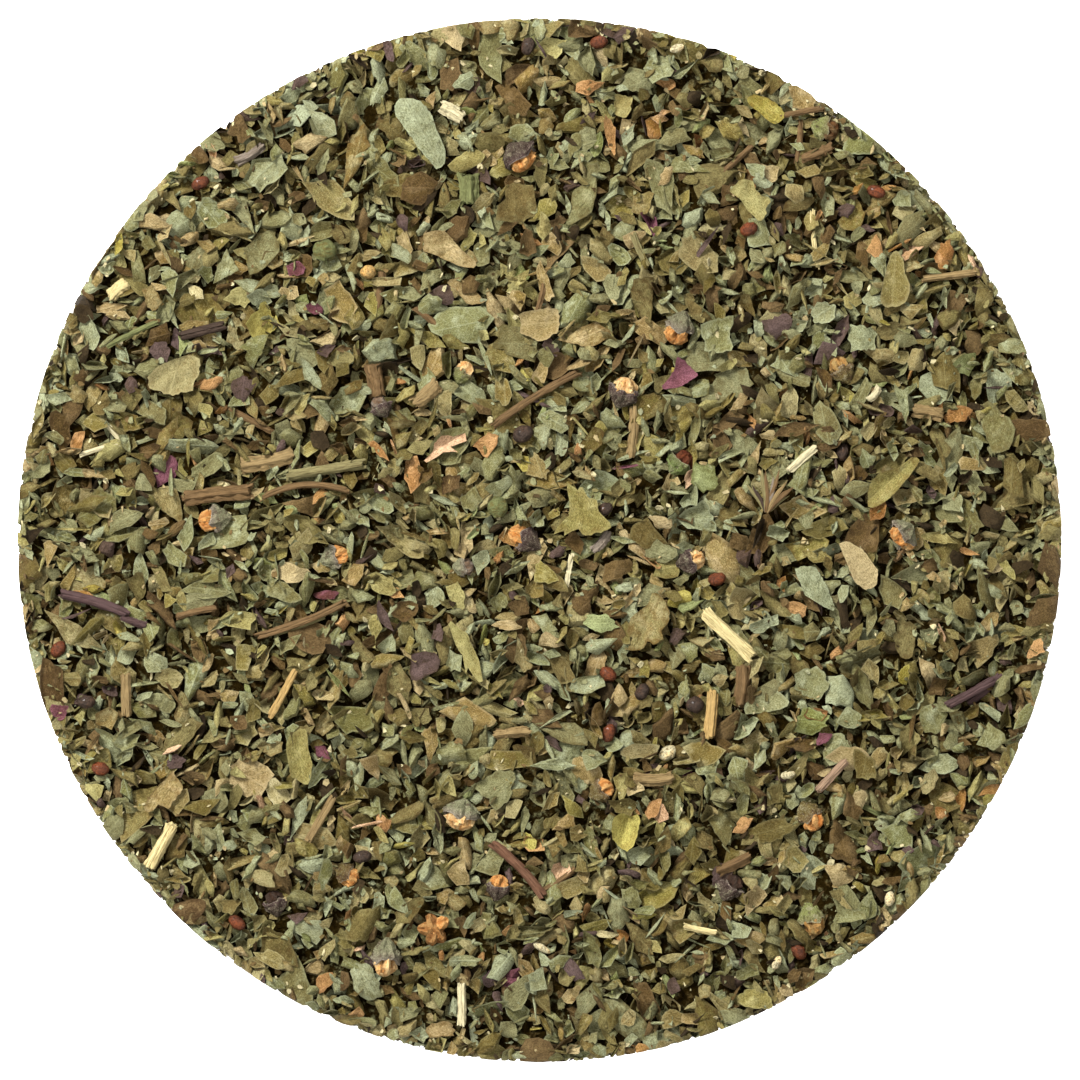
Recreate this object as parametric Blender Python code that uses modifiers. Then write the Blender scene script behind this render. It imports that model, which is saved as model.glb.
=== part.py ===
"""A round bed of dried rubbed basil.

Leaf flakes lie as a disc with a flat base. Broken stems, larger leaf pieces, flower cups, buds
and seeds rest in shallow hollows in its top. Metres, +Z up, with the origin in the middle of the
base.
"""

import cmath
import math
import random
from typing import NamedTuple

import bmesh
import bpy
from mathutils import Matrix, Vector, kdtree
from mathutils.geometry import convex_hull_2d

MM = 0.001
SEED = 17

# The bed: a round slab with a rounded shoulder and an upright side, a little domed on top
BED_RADIUS = 62.5 * MM
BED_HEIGHT = 12.0 * MM
BED_DOME = 1.0 * MM
SHOULDER = 3.5 * MM
TOP_REACH = BED_RADIUS - SHOULDER
SHOULDER_REACH = TOP_REACH + SHOULDER * math.pi / 2.0
FOOT_REACH = SHOULDER_REACH + BED_HEIGHT - BED_DOME - SHOULDER
FOOT_SIDES = 64
FOOT_FADE = 1.2 * MM

# The relief: every cell is one flake, a tilted facet with a step down to its neighbours
CELL_COUNT = 470
CELL_SHIFT = 1.5 * MM
CELL_TILT = (3.0, 25.0)
CELL_DROP = 0.9 * MM
CELL_DEEPEST = 2.7 * MM
CELL_NEIGHBOURS = 24
KEY_STEP = 1e-7
GOLDEN_ANGLE = math.pi * (3.0 - math.sqrt(5.0))

# Larger flakes that stand out of the relief with free edges
FLAKE_COUNT = 56
FLAKE_LENGTH = (6.0 * MM, 9.5 * MM)
FLAKE_ASPECT = (0.55, 0.85)
FLAKE_THICKNESS = 0.65 * MM
FLAKE_TILT = (12.0, 30.0)
FLAKE_DEPTH = (0.1 * MM, 0.9 * MM)
FLAKE_CLEARANCE = 2.5 * MM
FLAKE_EDGE_POINTS = 6
FLAKE_SHIFT = 3.0 * MM
FLAKE_INSET = 3.0 * MM
FLAKE_FOLD = (0.2, 0.9)
FLAKE_CURL = (0.1, 0.7)
FLAKE_RAGGED = 0.28
RIM_INSET = 0.5 * MM
FLOOR_INSET = 0.55 * MM

# Every piece that lies on the bed stands clear of it by this gap
GAP = 0.35 * MM
HOLLOW_TOP = 20.0 * MM
LEAF_THICKNESS = 0.65 * MM

# Everything here is dry and dull
ROUGHNESS = 0.85

COLOURS = {
    "olive": (112, 104, 66),
    "olive_yellow": (158, 146, 84),
    "sage": (148, 146, 108),
    "tan": (150, 126, 84),
    "pink_tan": (166, 136, 104),
    "brown": (96, 74, 46),
    "dark_brown": (62, 44, 30),
    "red_brown": (112, 58, 38),
    "purple": (74, 58, 66),
    "magenta": (104, 48, 66),
    "mauve": (120, 98, 98),
    "yellow": (186, 158, 62),
    "ochre": (176, 122, 52),
    "peach": (202, 156, 112),
    "straw": (194, 172, 116),
    "golden": (176, 136, 70),
    "cream": (214, 200, 156),
    "green": (132, 134, 72),
}


class Stem(NamedTuple):
    """A broken stem: its middle, length and width in mm, and its heading in degrees."""

    name: str
    x: float
    y: float
    length: float
    width: float
    heading: float
    colour: str
    bow: float = 0.0
    taper: float = 0.9


class Leaf(NamedTuple):
    """A larger leaf piece: fold and curl raise its sides and its ends, in mm."""

    name: str
    x: float
    y: float
    length: float
    width: float
    heading: float
    colour: str
    fold: float
    curl: float
    ragged: float = 0.2


class Cup(NamedTuple):
    """A flower cup lying on its side, with a bud or nutlets showing in its mouth."""

    name: str
    x: float
    y: float
    length: float
    width: float
    heading: float
    colour: str
    rise: float = 20.0


class Grain(NamedTuple):
    """A seed or a closed bud."""

    name: str
    x: float
    y: float
    length: float
    width: float
    heading: float
    colour: str


STEMS = (
    Stem("stem_straw_split", 22.7, -11.4, 8.5, 1.9, -43, "straw"),
    Stem("stem_golden", 20.5, -20.9, 5.9, 1.7, -95, "golden"),
    Stem("stem_brown_long", -0.4, 16.9, 12.6, 1.1, 32, "brown", bow=0.3),
    Stem("stem_brown_left", -28.6, -9.5, 12.0, 1.1, 21, "brown", bow=-0.4, taper=0.7),
    Stem("stem_purple_left", -53.2, -7.7, 8.9, 1.4, -17, "purple", bow=0.3),
    Stem("stem_purple_right", 51.6, -18.3, 6.9, 1.2, 29, "mauve"),
    Stem("stem_red", -2.6, -39.4, 9.1, 1.4, -46, "red_brown", bow=0.3),
    Stem("stem_straw_low", -45.3, -36.6, 6.2, 1.8, -118, "straw"),
    Stem("stem_brown_low", -26.2, -33.4, 6.4, 1.1, 60, "brown"),
    Stem("stem_straw_stub", -49.5, -18.6, 5.4, 1.4, -89, "straw"),
    Stem("stem_brown_bent", -28.1, 5.3, 10.8, 1.0, 5, "golden", bow=1.3, taper=0.7),
    Stem("stem_dark", -40.4, 25.0, 5.8, 1.4, 14, "dark_brown"),
    Stem("stem_stick", 49.0, 31.6, 6.8, 1.0, 7, "tan"),
    Stem("stem_stalk", 35.0, -28.2, 5.2, 1.1, 47, "magenta"),
    Stem("stem_cream", -9.3, -55.6, 5.3, 1.2, -90, "cream"),
    Stem("stem_golden_thin", -30.7, -18.4, 6.7, 1.0, 61, "golden", taper=0.7),
)

LEAVES = (
    Leaf("leaf_star", 5.2, 3.5, 9.0, 7.0, 100, "olive_yellow", 0.9, 0.9, ragged=0.42),
    Leaf("leaf_sage_long", -14.1, 49.0, 10.2, 3.6, -65, "sage", 0.7, -0.6),
    Leaf("leaf_pink_tan", 38.3, -2.9, 6.6, 4.7, 95, "pink_tan", -0.5, 0.5),
    Leaf("leaf_sage_curled", 32.2, -6.2, 6.1, 4.0, 80, "sage", 1.0, 0.7),
    Leaf("leaf_olive_ragged", 13.2, -9.4, 7.4, 5.3, 70, "olive", 0.6, 0.7, ragged=0.3),
    Leaf("leaf_tan_left", -43.5, 20.3, 6.5, 4.7, 10, "tan", 0.4, 0.6),
    Leaf("leaf_tan_top", -10.5, 34.7, 7.2, 4.5, -5, "tan", 0.5, 0.8),
    Leaf("leaf_tan_notched", 24.9, 41.0, 6.0, 4.7, 15, "tan", -0.4, 0.6, ragged=0.34),
    Leaf("leaf_tan_square", -0.1, 25.9, 5.0, 4.2, -8, "tan", 0.4, 0.5),
    Leaf("leaf_tan_toothed", -45.2, -29.4, 5.4, 5.2, 40, "tan", 0.5, 0.4, ragged=0.3),
    Leaf("leaf_grey_brown", 42.4, 31.3, 7.7, 3.9, 92, "mauve", -0.5, 0.6),
    Leaf("leaf_folded", 42.2, 7.4, 8.5, 3.2, 44, "olive_yellow", 1.1, 0.6),
    Leaf("leaf_yellow_olive", -28.6, -25.7, 7.1, 3.3, 95, "olive_yellow", 0.7, 0.6),
    Leaf("leaf_twisted", -8.8, -13.0, 9.0, 2.6, 92, "olive_yellow", 0.9, -0.7),
    Leaf("leaf_yellow_curled", 10.3, -34.8, 5.0, 3.8, 70, "yellow", 1.1, 0.5),
    Leaf("leaf_yellow_flat", 27.0, 51.2, 5.0, 3.3, 15, "yellow", 0.4, 0.4),
    Leaf("leaf_purple", -13.8, -14.9, 4.2, 3.5, 0, "purple", 0.5, 0.5),
    Leaf("petal_peach", -11.3, 11.4, 5.3, 2.6, 8, "peach", 0.5, 0.6),
    Leaf("petal_magenta", 16.8, 19.5, 4.5, 3.1, 20, "magenta", 0.6, 0.5, ragged=0.3),
)

CUPS = (
    Cup("cup_peach", -18.5, -49.9, 5.0, 3.4, 78, "peach", rise=28),
    Cup("cup_low", -9.4, -33.0, 4.3, 3.5, 140, "mauve"),
    Cup("cup_top", -2.4, 45.8, 4.3, 3.5, 60, "purple"),
    Cup("cup_upper", 16.8, 25.4, 4.3, 3.5, -120, "mauve"),
    Cup("cup_orange", 18.0, -2.5, 3.6, 2.7, 10, "ochre"),
    Cup("cup_right", 43.6, 0.9, 3.7, 3.0, -60, "green"),
    Cup("cup_left", -38.8, 2.3, 4.2, 2.9, 170, "purple"),
    Cup("cup_ochre", -12.6, -46.6, 4.4, 3.6, 30, "ochre"),
    Cup("cup_whorl", 27.6, 6.1, 6.8, 5.0, 80, "brown"),
    Cup("cup_purple", 9.9, 17.7, 4.1, 2.9, -75, "purple"),
)

GRAINS = (
    Grain("bud_round", -25.7, 34.7, 2.9, 2.6, 0, "green"),
    Grain("bud_green", -5.0, 3.9, 2.5, 2.4, 0, "green"),
    Grain("seed_upper_left", -40.6, 42.7, 2.3, 1.5, 30, "red_brown"),
    Grain("seed_upper_right", 40.3, 41.7, 2.3, 1.5, -20, "red_brown"),
    Grain("seed_middle", 8.3, -23.1, 2.3, 1.5, 70, "red_brown"),
    Grain("seed_lower", -21.2, -37.9, 2.3, 1.5, 10, "dark_brown"),
    Grain("seed_lower_left", -36.2, -45.8, 2.3, 1.5, -40, "red_brown"),
)

# A cup's half profile: distance from its axis and distance along it, as shares of width and length
CUP_PROFILE = (
    (0.00, 0.00),
    (0.26, 0.05),
    (0.44, 0.30),
    (0.50, 0.66),
    (0.47, 0.86),
    (0.36, 0.84),
    (0.33, 0.70),
    (0.27, 0.92),
    (0.00, 1.04),
)
CUP_STEPS = 8
POLE_MERGE = 0.01 * MM
STEM_RINGS = 5
STEM_KNOTS = (0.88, 1.0)
LEAF_EDGE_POINTS = 14
GRAIN_SEGMENTS = 8
GRAIN_RINGS = 6
GRAIN_FLATNESS = 0.85

# How far each kind of piece sinks into the bed, as a share of its height
STEM_SINK = 0.3
LEAF_SINK = 0.0
CUP_SINK = 0.5
GRAIN_SINK = 0.3


def clear_scene():
    for obj in list(bpy.data.objects):
        bpy.data.objects.remove(obj, do_unlink=True)


def new_collection(name):
    collection = bpy.data.collections.new(name)
    bpy.context.scene.collection.children.link(collection)
    return collection


def linear(channel):
    share = channel / 255.0
    return share / 12.92 if share <= 0.04045 else ((share + 0.055) / 1.055) ** 2.4


def material_for(name, colour):
    material = bpy.data.materials.new(name)
    material.use_nodes = True
    shader = material.node_tree.nodes["Principled BSDF"]
    red, green, blue = COLOURS[colour]
    shader.inputs["Base Color"].default_value = (linear(red), linear(green), linear(blue), 1.0)
    shader.inputs["Roughness"].default_value = ROUGHNESS
    shader.inputs["Metallic"].default_value = 0.0
    return material


def object_from(name, mesh, collection, colour):
    obj = bpy.data.objects.new(name, mesh)
    obj.data.materials.append(material_for(name, colour))
    collection.objects.link(obj)
    return obj


def mesh_from(name, bm):
    mesh = bpy.data.meshes.new(name)
    bmesh.ops.recalc_face_normals(bm, faces=bm.faces[:])
    bm.to_mesh(mesh)
    bm.free()
    return mesh


def turned_object(name, profile, steps, collection, colour):
    """A solid turned about its own Z axis from a profile of (radius, height) points."""
    bm = bmesh.new()
    points = [bm.verts.new((radius, 0.0, height)) for radius, height in profile]
    for first, second in zip(points, points[1:]):
        bm.edges.new((first, second))
    mesh = bpy.data.meshes.new(name)
    bm.to_mesh(mesh)
    bm.free()
    obj = object_from(name, mesh, collection, colour)
    turn = obj.modifiers.new("turn", "SCREW")
    turn.angle = math.tau
    turn.steps = steps
    turn.render_steps = steps
    turn.use_merge_vertices = True
    turn.merge_threshold = POLE_MERGE
    return obj


def on_bed(reach):
    """Where a point lies that is this far from the top's middle, measured along the surface."""
    if reach <= TOP_REACH:
        radius, height, lean = reach, BED_HEIGHT, 0.0
    elif reach <= SHOULDER_REACH:
        lean = (reach - TOP_REACH) / SHOULDER
        radius = TOP_REACH + SHOULDER * math.sin(lean)
        height = BED_HEIGHT - SHOULDER * (1.0 - math.cos(lean))
    else:
        lean = math.pi / 2.0
        radius = BED_RADIUS
        height = BED_HEIGHT - SHOULDER - (reach - SHOULDER_REACH)
    return radius, height - BED_DOME * (radius / BED_RADIUS) ** 2, lean


def reach_of(spot):
    """How far out a spot lies, counted so that every side of the foot is FOOT_REACH away."""
    side = math.tau / FOOT_SIDES
    off_middle = (cmath.phase(spot) % side) - side / 2.0
    return abs(spot) * math.cos(off_middle) / math.cos(side / 2.0)


def bed_frame(spot):
    """The point and the outward direction on the bed for a spot on its surface laid out flat."""
    reach = reach_of(spot)
    outward = Vector((spot.real, spot.imag, 0.0)) / abs(spot)
    radius, height, lean = on_bed(reach)
    normal = outward * math.sin(lean) + Vector((0.0, 0.0, math.cos(lean)))
    return outward * radius + Vector((0.0, 0.0, height)), normal


def spiral_spots(count, shift, rng):
    """Spots spread evenly over the bed's surface laid out flat, each a little out of place.

    They are complex numbers, which keep the double precision that shared corners need.
    """
    for number in range(count):
        reach = FOOT_REACH * math.sqrt((number + 0.5) / count)
        spot = cmath.rect(reach, number * GOLDEN_ANGLE)
        yield spot + complex(rng.uniform(-shift, shift), rng.uniform(-shift, shift))


def flake_sheet(length, width, edge_points, fold, curl, ragged, rng):
    """A ragged flake as a fan of triangles about its middle, folded along X and curled at its ends.

    It starts as a circle of radius 1, so the only point well inside it is the middle.
    """
    bm = bmesh.new()
    bmesh.ops.create_circle(bm, cap_ends=True, cap_tris=True, segments=edge_points, radius=1.0)
    half_length, half_width = length / 2.0, width / 2.0
    for vert in bm.verts:
        if vert.co.length < 0.5:
            vert.co = (0.0, 0.0, 0.0)
            continue
        reach = 1.0 - rng.uniform(0.0, ragged)
        along = vert.co.x * reach
        across = vert.co.y * reach
        raised = fold * abs(across) + curl * along * along
        vert.co = (along * half_length, across * half_width, raised)
    return bm


def thicken(obj, thickness):
    """Gives an open sheet its thickness, half of it on either side."""
    shell = obj.modifiers.new("thickness", "SOLIDIFY")
    shell.thickness = thickness
    shell.offset = 0.0


def keep_in_mould(bm):
    """Draws the points of a flake in, so that the bed's side is the round wall of its mould."""
    reach = BED_RADIUS - RIM_INSET
    for vert in bm.verts:
        radius = math.hypot(vert.co.x, vert.co.y)
        if radius > reach:
            vert.co.x *= reach / radius
            vert.co.y *= reach / radius
        vert.co.z = max(vert.co.z, FLOOR_INSET)


def dot(first, second):
    return first.real * second.real + first.imag * second.imag


class Cell:
    """One facet of the relief: a convex outline round its site, tilted, with its depth in the bed."""

    def __init__(self, site, corners, rng):
        self.site = site
        self.corners = corners
        slope = math.tan(math.radians(rng.uniform(*CELL_TILT)))
        self.slope = cmath.rect(slope, rng.uniform(0.0, math.tau))
        self.top = -rng.uniform(0.0, CELL_DROP)
        self.top -= max(dot(self.slope, corner - site) for corner, _ in corners)

    def depth(self, spot):
        """How deep the facet lies under the bed's outer surface at a spot, as a negative height."""
        fade = min(1.0, max(0.0, (FOOT_REACH - reach_of(spot)) / FOOT_FADE))
        return fade * max(-CELL_DEEPEST, self.top + dot(self.slope, spot - self.site))


def clip(corners, middle, away, label):
    """Cuts a convex outline by a line. A corner carries the label of the side that starts at it."""
    kept = []
    for (here, side), (there, _) in zip(corners, corners[1:] + corners[:1]):
        near = dot(here - middle, away)
        far = dot(there - middle, away)
        if near <= 0.0:
            kept.append((here, side))
        if near * far < 0.0:
            crossing = here + (there - here) * near / (near - far)
            kept.append((crossing, label if near < 0.0 else side))
    return kept


def relief_cells(rng):
    """The facets, as the regions nearest to each of the spread spots."""
    outline = [(cmath.rect(FOOT_REACH, math.tau * side / FOOT_SIDES), -1) for side in range(FOOT_SIDES)]
    sites = list(spiral_spots(CELL_COUNT, CELL_SHIFT, rng))
    tree = kdtree.KDTree(CELL_COUNT)
    for index, site in enumerate(sites):
        tree.insert((site.real, site.imag, 0.0), index)
    tree.balance()
    cells = []
    for index, site in enumerate(sites):
        corners = outline
        for _, other, _ in tree.find_n((site.real, site.imag, 0.0), CELL_NEIGHBOURS):
            if other != index:
                corners = clip(corners, (site + sites[other]) / 2.0, sites[other] - site, other)
        cells.append(Cell(site, corners, rng))
    return cells


def spot_key(spot):
    return round(spot.real / KEY_STEP), round(spot.imag / KEY_STEP)


class Relief:
    """Raises the cells as one closed mesh: tilted tops, upright steps between them, and the base."""

    def __init__(self, cells):
        self.bm = bmesh.new()
        self.cells = cells
        self.stacks = {}
        self.crossings = {}

    def vert(self, spot, depth):
        """The mesh point at a spot and a depth, made once."""
        stack = self.stacks.setdefault(spot_key(spot), {})
        level = round(depth / KEY_STEP)
        if level not in stack:
            place, normal = bed_frame(spot)
            stack[level] = self.bm.verts.new(place + normal * depth)
        return stack[level]

    def between(self, spot, first, second):
        """The points above one another at a spot, from the first depth to the second."""
        stack = self.stacks[spot_key(spot)]
        first, second = round(first / KEY_STEP), round(second / KEY_STEP)
        low, high = min(first, second), max(first, second)
        levels = sorted(level for level in stack if low <= level <= high)
        return [stack[level] for level in (levels if first <= second else reversed(levels))]

    def sides(self, index):
        corners = self.cells[index].corners
        for (here, other), (there, _) in zip(corners, corners[1:] + corners[:1]):
            yield here, there, other

    def cross(self, index, here, there, other):
        """The spot on a shared side where the two tilted tops cut each other, if they do."""
        cell, neighbour = self.cells[index], self.cells[other]
        near = cell.depth(here) - neighbour.depth(here)
        far = cell.depth(there) - neighbour.depth(there)
        if near * far >= 0.0 or min(abs(near), abs(far)) < KEY_STEP:
            return None
        spot = here + (there - here) * near / (near - far)
        return spot, cell.depth(spot)

    def add_top(self, index):
        cell = self.cells[index]
        loop = []
        for here, there, other in self.sides(index):
            loop.append(self.vert(here, cell.depth(here)))
            crossing = self.crossings.get(frozenset((spot_key(here), spot_key(there))))
            if crossing:
                loop.append(self.vert(*crossing))
        self.bm.faces.new(loop)

    def add_step(self, index, here, there, other):
        cell, neighbour = self.cells[index], self.cells[other]
        near = self.between(here, cell.depth(here), neighbour.depth(here))
        far = self.between(there, neighbour.depth(there), cell.depth(there))
        crossing = self.crossings.get(frozenset((spot_key(here), spot_key(there))))
        loops = [near + far]
        if crossing:
            middle = self.vert(*crossing)
            loops = [near + [middle], far + [middle]]
        for loop in loops:
            if len(loop) > 2:
                self.bm.faces.new(loop)

    def add_base(self):
        rim = {}
        for index in range(len(self.cells)):
            for here, there, other in self.sides(index):
                if other < 0:
                    for spot in (here, there):
                        rim[spot_key(spot)] = (cmath.phase(spot), self.vert(spot, 0.0))
        ring = sorted(rim.values(), key=lambda entry: entry[0])
        self.bm.faces.new([vert for _, vert in ring])

    def mesh(self, name):
        shared = []
        for index in range(len(self.cells)):
            shared += [(index, *side) for side in self.sides(index) if side[2] > index]
        for index, here, there, other in shared:
            crossing = self.cross(index, here, there, other)
            if crossing:
                self.crossings[frozenset((spot_key(here), spot_key(there)))] = crossing
        for index in range(len(self.cells)):
            self.add_top(index)
        for side in shared:
            self.add_step(*side)
        self.add_base()
        bmesh.ops.triangulate(self.bm, faces=self.bm.faces[:])
        return mesh_from(name, self.bm)


def standing_flakes(collection, laid):
    """Larger flakes, rooted in the relief between the separate pieces."""
    rng = random.Random(SEED + 1)
    farthest = FOOT_REACH - FLAKE_INSET
    for number, spot in enumerate(spiral_spots(FLAKE_COUNT, FLAKE_SHIFT, rng)):
        if abs(spot) > farthest:
            spot *= farthest / abs(spot)
        place, normal = bed_frame(spot)
        place -= normal * rng.uniform(*FLAKE_DEPTH)
        if any((place - obj.location).to_2d().length < radius + FLAKE_CLEARANCE for obj, radius in laid):
            continue
        lean = Matrix.Rotation(math.radians(rng.uniform(*FLAKE_TILT)), 4, "X")
        spins = [Matrix.Rotation(rng.uniform(0.0, math.tau), 4, "Z") for _ in range(2)]
        upright = normal.to_track_quat("Z", "X").to_matrix().to_4x4()
        length = rng.uniform(*FLAKE_LENGTH)
        width = length * rng.uniform(*FLAKE_ASPECT)
        fold = rng.choice((-1.0, 1.0)) * rng.uniform(*FLAKE_FOLD) * MM
        curl = rng.choice((-1.0, 1.0)) * rng.uniform(*FLAKE_CURL) * MM
        sheet = flake_sheet(length, width, FLAKE_EDGE_POINTS, fold, curl, FLAKE_RAGGED, rng)
        turn = Matrix.Translation(place) @ upright @ spins[0] @ lean @ spins[1]
        bmesh.ops.transform(sheet, matrix=turn, verts=sheet.verts[:])
        keep_in_mould(sheet)
        name = f"flake_{number:03d}"
        flake = bpy.data.objects.new(name, mesh_from(name, sheet))
        thicken(flake, FLAKE_THICKNESS)
        collection.objects.link(flake)


def apply_boolean(obj, operation, collection):
    """Joins or cuts with everything in a collection, then removes what was in it."""
    modifier = obj.modifiers.new(operation.lower(), "BOOLEAN")
    modifier.operation = operation
    modifier.operand_type = "COLLECTION"
    modifier.collection = collection
    modifier.solver = "MANIFOLD"
    graph = bpy.context.evaluated_depsgraph_get()
    mesh = bpy.data.meshes.new_from_object(obj.evaluated_get(graph))
    obj.modifiers.clear()
    obj.data = mesh
    for helper in list(collection.objects):
        bpy.data.objects.remove(helper, do_unlink=True)
    bpy.data.collections.remove(collection)


def islands_of(bm):
    """The sets of points that hang together."""
    left = set(bm.verts)
    while left:
        island = set()
        edge = [left.pop()]
        while edge:
            vert = edge.pop()
            island.add(vert)
            for link in vert.link_edges:
                other = link.other_vert(vert)
                if other in left:
                    left.discard(other)
                    edge.append(other)
        yield island


def keep_one_body(obj):
    """Drops loose scraps and fills sealed hollows, so that one body is left."""
    bm = bmesh.new()
    bm.from_mesh(obj.data)
    islands = sorted(islands_of(bm), key=len)
    loose = [vert for island in islands[:-1] for vert in island]
    bmesh.ops.delete(bm, geom=loose, context="VERTS")
    bm.to_mesh(obj.data)
    bm.free()


def make_stem(stem, collection):
    """A broken stem: a faceted tube, bowed sideways, with its two ends snapped unevenly."""
    rng = random.Random(stem.name)
    curve = bpy.data.curves.new(stem.name, "CURVE")
    curve.dimensions = "3D"
    curve.bevel_depth = stem.width / 2.0 * MM
    curve.bevel_resolution = 1
    curve.use_fill_caps = True
    spline = curve.splines.new("POLY")
    spline.points.add(STEM_RINGS - 1)
    for number, point in enumerate(spline.points):
        share = number / (STEM_RINGS - 1)
        along = (share - 0.5) * stem.length * MM
        aside = stem.bow * MM * (1.0 - (2.0 * share - 1.0) ** 2)
        point.co = (along, aside, 0.0, 1.0)
        knot = rng.uniform(*STEM_KNOTS)
        point.radius = knot * (1.0 + (stem.taper - 1.0) * share)
    obj = bpy.data.objects.new(stem.name, curve)
    obj.data.materials.append(material_for(stem.name, stem.colour))
    collection.objects.link(obj)
    return obj


def make_leaf(leaf, collection):
    rng = random.Random(leaf.name)
    sheet = flake_sheet(
        leaf.length * MM,
        leaf.width * MM,
        LEAF_EDGE_POINTS,
        leaf.fold * MM,
        leaf.curl * MM,
        leaf.ragged,
        rng,
    )
    obj = object_from(leaf.name, mesh_from(leaf.name, sheet), collection, leaf.colour)
    thicken(obj, LEAF_THICKNESS)
    return obj


def make_cup(cup, collection):
    """A flower cup: a turned shape, laid on its side with its mouth a little raised."""
    profile = [
        (across * cup.width * MM, (along - 0.5) * cup.length * MM) for across, along in reversed(CUP_PROFILE)
    ]
    obj = turned_object(cup.name, profile, CUP_STEPS, collection, cup.colour)
    obj.rotation_euler = (0.0, math.radians(90.0 - cup.rise), 0.0)
    return obj


def make_grain(grain, collection):
    bm = bmesh.new()
    bmesh.ops.create_uvsphere(bm, u_segments=GRAIN_SEGMENTS, v_segments=GRAIN_RINGS, radius=0.5 * MM)
    size = Vector((grain.length, grain.width, grain.width * GRAIN_FLATNESS))
    bmesh.ops.scale(bm, vec=size, verts=bm.verts[:])
    return object_from(grain.name, mesh_from(grain.name, bm), collection, grain.colour)


def world_points(obj):
    """The points of an object as it stands, in world space."""
    graph = bpy.context.evaluated_depsgraph_get()
    evaluated = obj.evaluated_get(graph)
    mesh = evaluated.to_mesh()
    points = [evaluated.matrix_world @ vert.co for vert in mesh.vertices]
    evaluated.to_mesh_clear()
    return points


def reach_round(obj, points):
    """How far a piece reaches from its own middle, seen from above."""
    return max((point - obj.location).to_2d().length for point in points)


def lay_down(obj, piece, sink):
    """Turns a piece to its heading and rests it on the bed, sunk in by a share of its height."""
    obj.rotation_euler.z = math.radians(piece.heading)
    obj.location = (piece.x * MM, piece.y * MM, 0.0)
    bpy.context.view_layer.update()
    points = world_points(obj)
    low = min(point.z for point in points)
    high = max(point.z for point in points)
    reach = max(math.hypot(point.x, point.y) for point in points)
    middle = math.hypot(piece.x, piece.y) * MM
    rest = on_bed((middle + reach) / 2.0)[1] - CELL_DROP
    obj.location.z = rest - low - sink * (high - low)
    return reach_round(obj, points)


def outset(hull, distance):
    """A convex outline with every side moved out by a distance."""
    count = len(hull)
    grown = []
    for index, corner in enumerate(hull):
        before = (corner - hull[index - 1]).normalized()
        after = (hull[(index + 1) % count] - corner).normalized()
        first = Vector((before.y, -before.x))
        second = Vector((after.y, -after.x))
        grown.append(corner + (first + second) * distance / (1.0 + first.dot(second)))
    return grown


def hollow_for(obj, collection):
    """The hollow in the bed that a piece lies in: its outline from above, with a gap all round."""
    points = world_points(obj)
    flat = [point.to_2d() for point in points]
    hull = [flat[index] for index in convex_hull_2d(flat)]
    turning = sum(a.x * b.y - a.y * b.x for a, b in zip(hull, hull[1:] + hull[:1]))
    if turning < 0.0:
        hull.reverse()
    floor = min(point.z for point in points) - GAP
    bm = bmesh.new()
    for corner in outset(hull, GAP):
        bm.verts.new((corner.x, corner.y, floor))
        bm.verts.new((corner.x, corner.y, HOLLOW_TOP))
    bmesh.ops.convex_hull(bm, input=bm.verts[:])
    name = f"hollow_{obj.name}"
    cutter = bpy.data.objects.new(name, mesh_from(name, bm))
    collection.objects.link(cutter)


def make_pieces(collection):
    """Every separate piece that lies on the bed."""
    laid = []
    for pieces, make, sink in (
        (STEMS, make_stem, STEM_SINK),
        (LEAVES, make_leaf, LEAF_SINK),
        (CUPS, make_cup, CUP_SINK),
        (GRAINS, make_grain, GRAIN_SINK),
    ):
        for piece in pieces:
            obj = make(piece, collection)
            laid.append((obj, lay_down(obj, piece, sink)))
    bpy.context.view_layer.update()
    return laid


def make_bed(collection, laid):
    cells = relief_cells(random.Random(SEED))
    bed = object_from("herb_bed", Relief(cells).mesh("herb_bed"), collection, "olive")
    flakes = new_collection("flakes")
    standing_flakes(flakes, laid)
    apply_boolean(bed, "UNION", flakes)
    hollows = new_collection("hollows")
    for obj, _ in laid:
        hollow_for(obj, hollows)
    apply_boolean(bed, "DIFFERENCE", hollows)
    keep_one_body(bed)


def main():
    clear_scene()
    collection = new_collection("basil_bed")
    laid = make_pieces(collection)
    make_bed(collection, laid)


main()
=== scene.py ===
"""The looks of a round bed of dried rubbed basil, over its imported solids.

Flakes of leaf are heaped on the bed's top, side and underside, each one a closed thin sheet with its
own cut edge, curl and tilt. The broken stems, larger leaf pieces, flower cups, buds and seeds are
modelled at the places of their solids. Shapes are worked out in mm and made in metres.
"""

import functools
import math
from typing import NamedTuple

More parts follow.
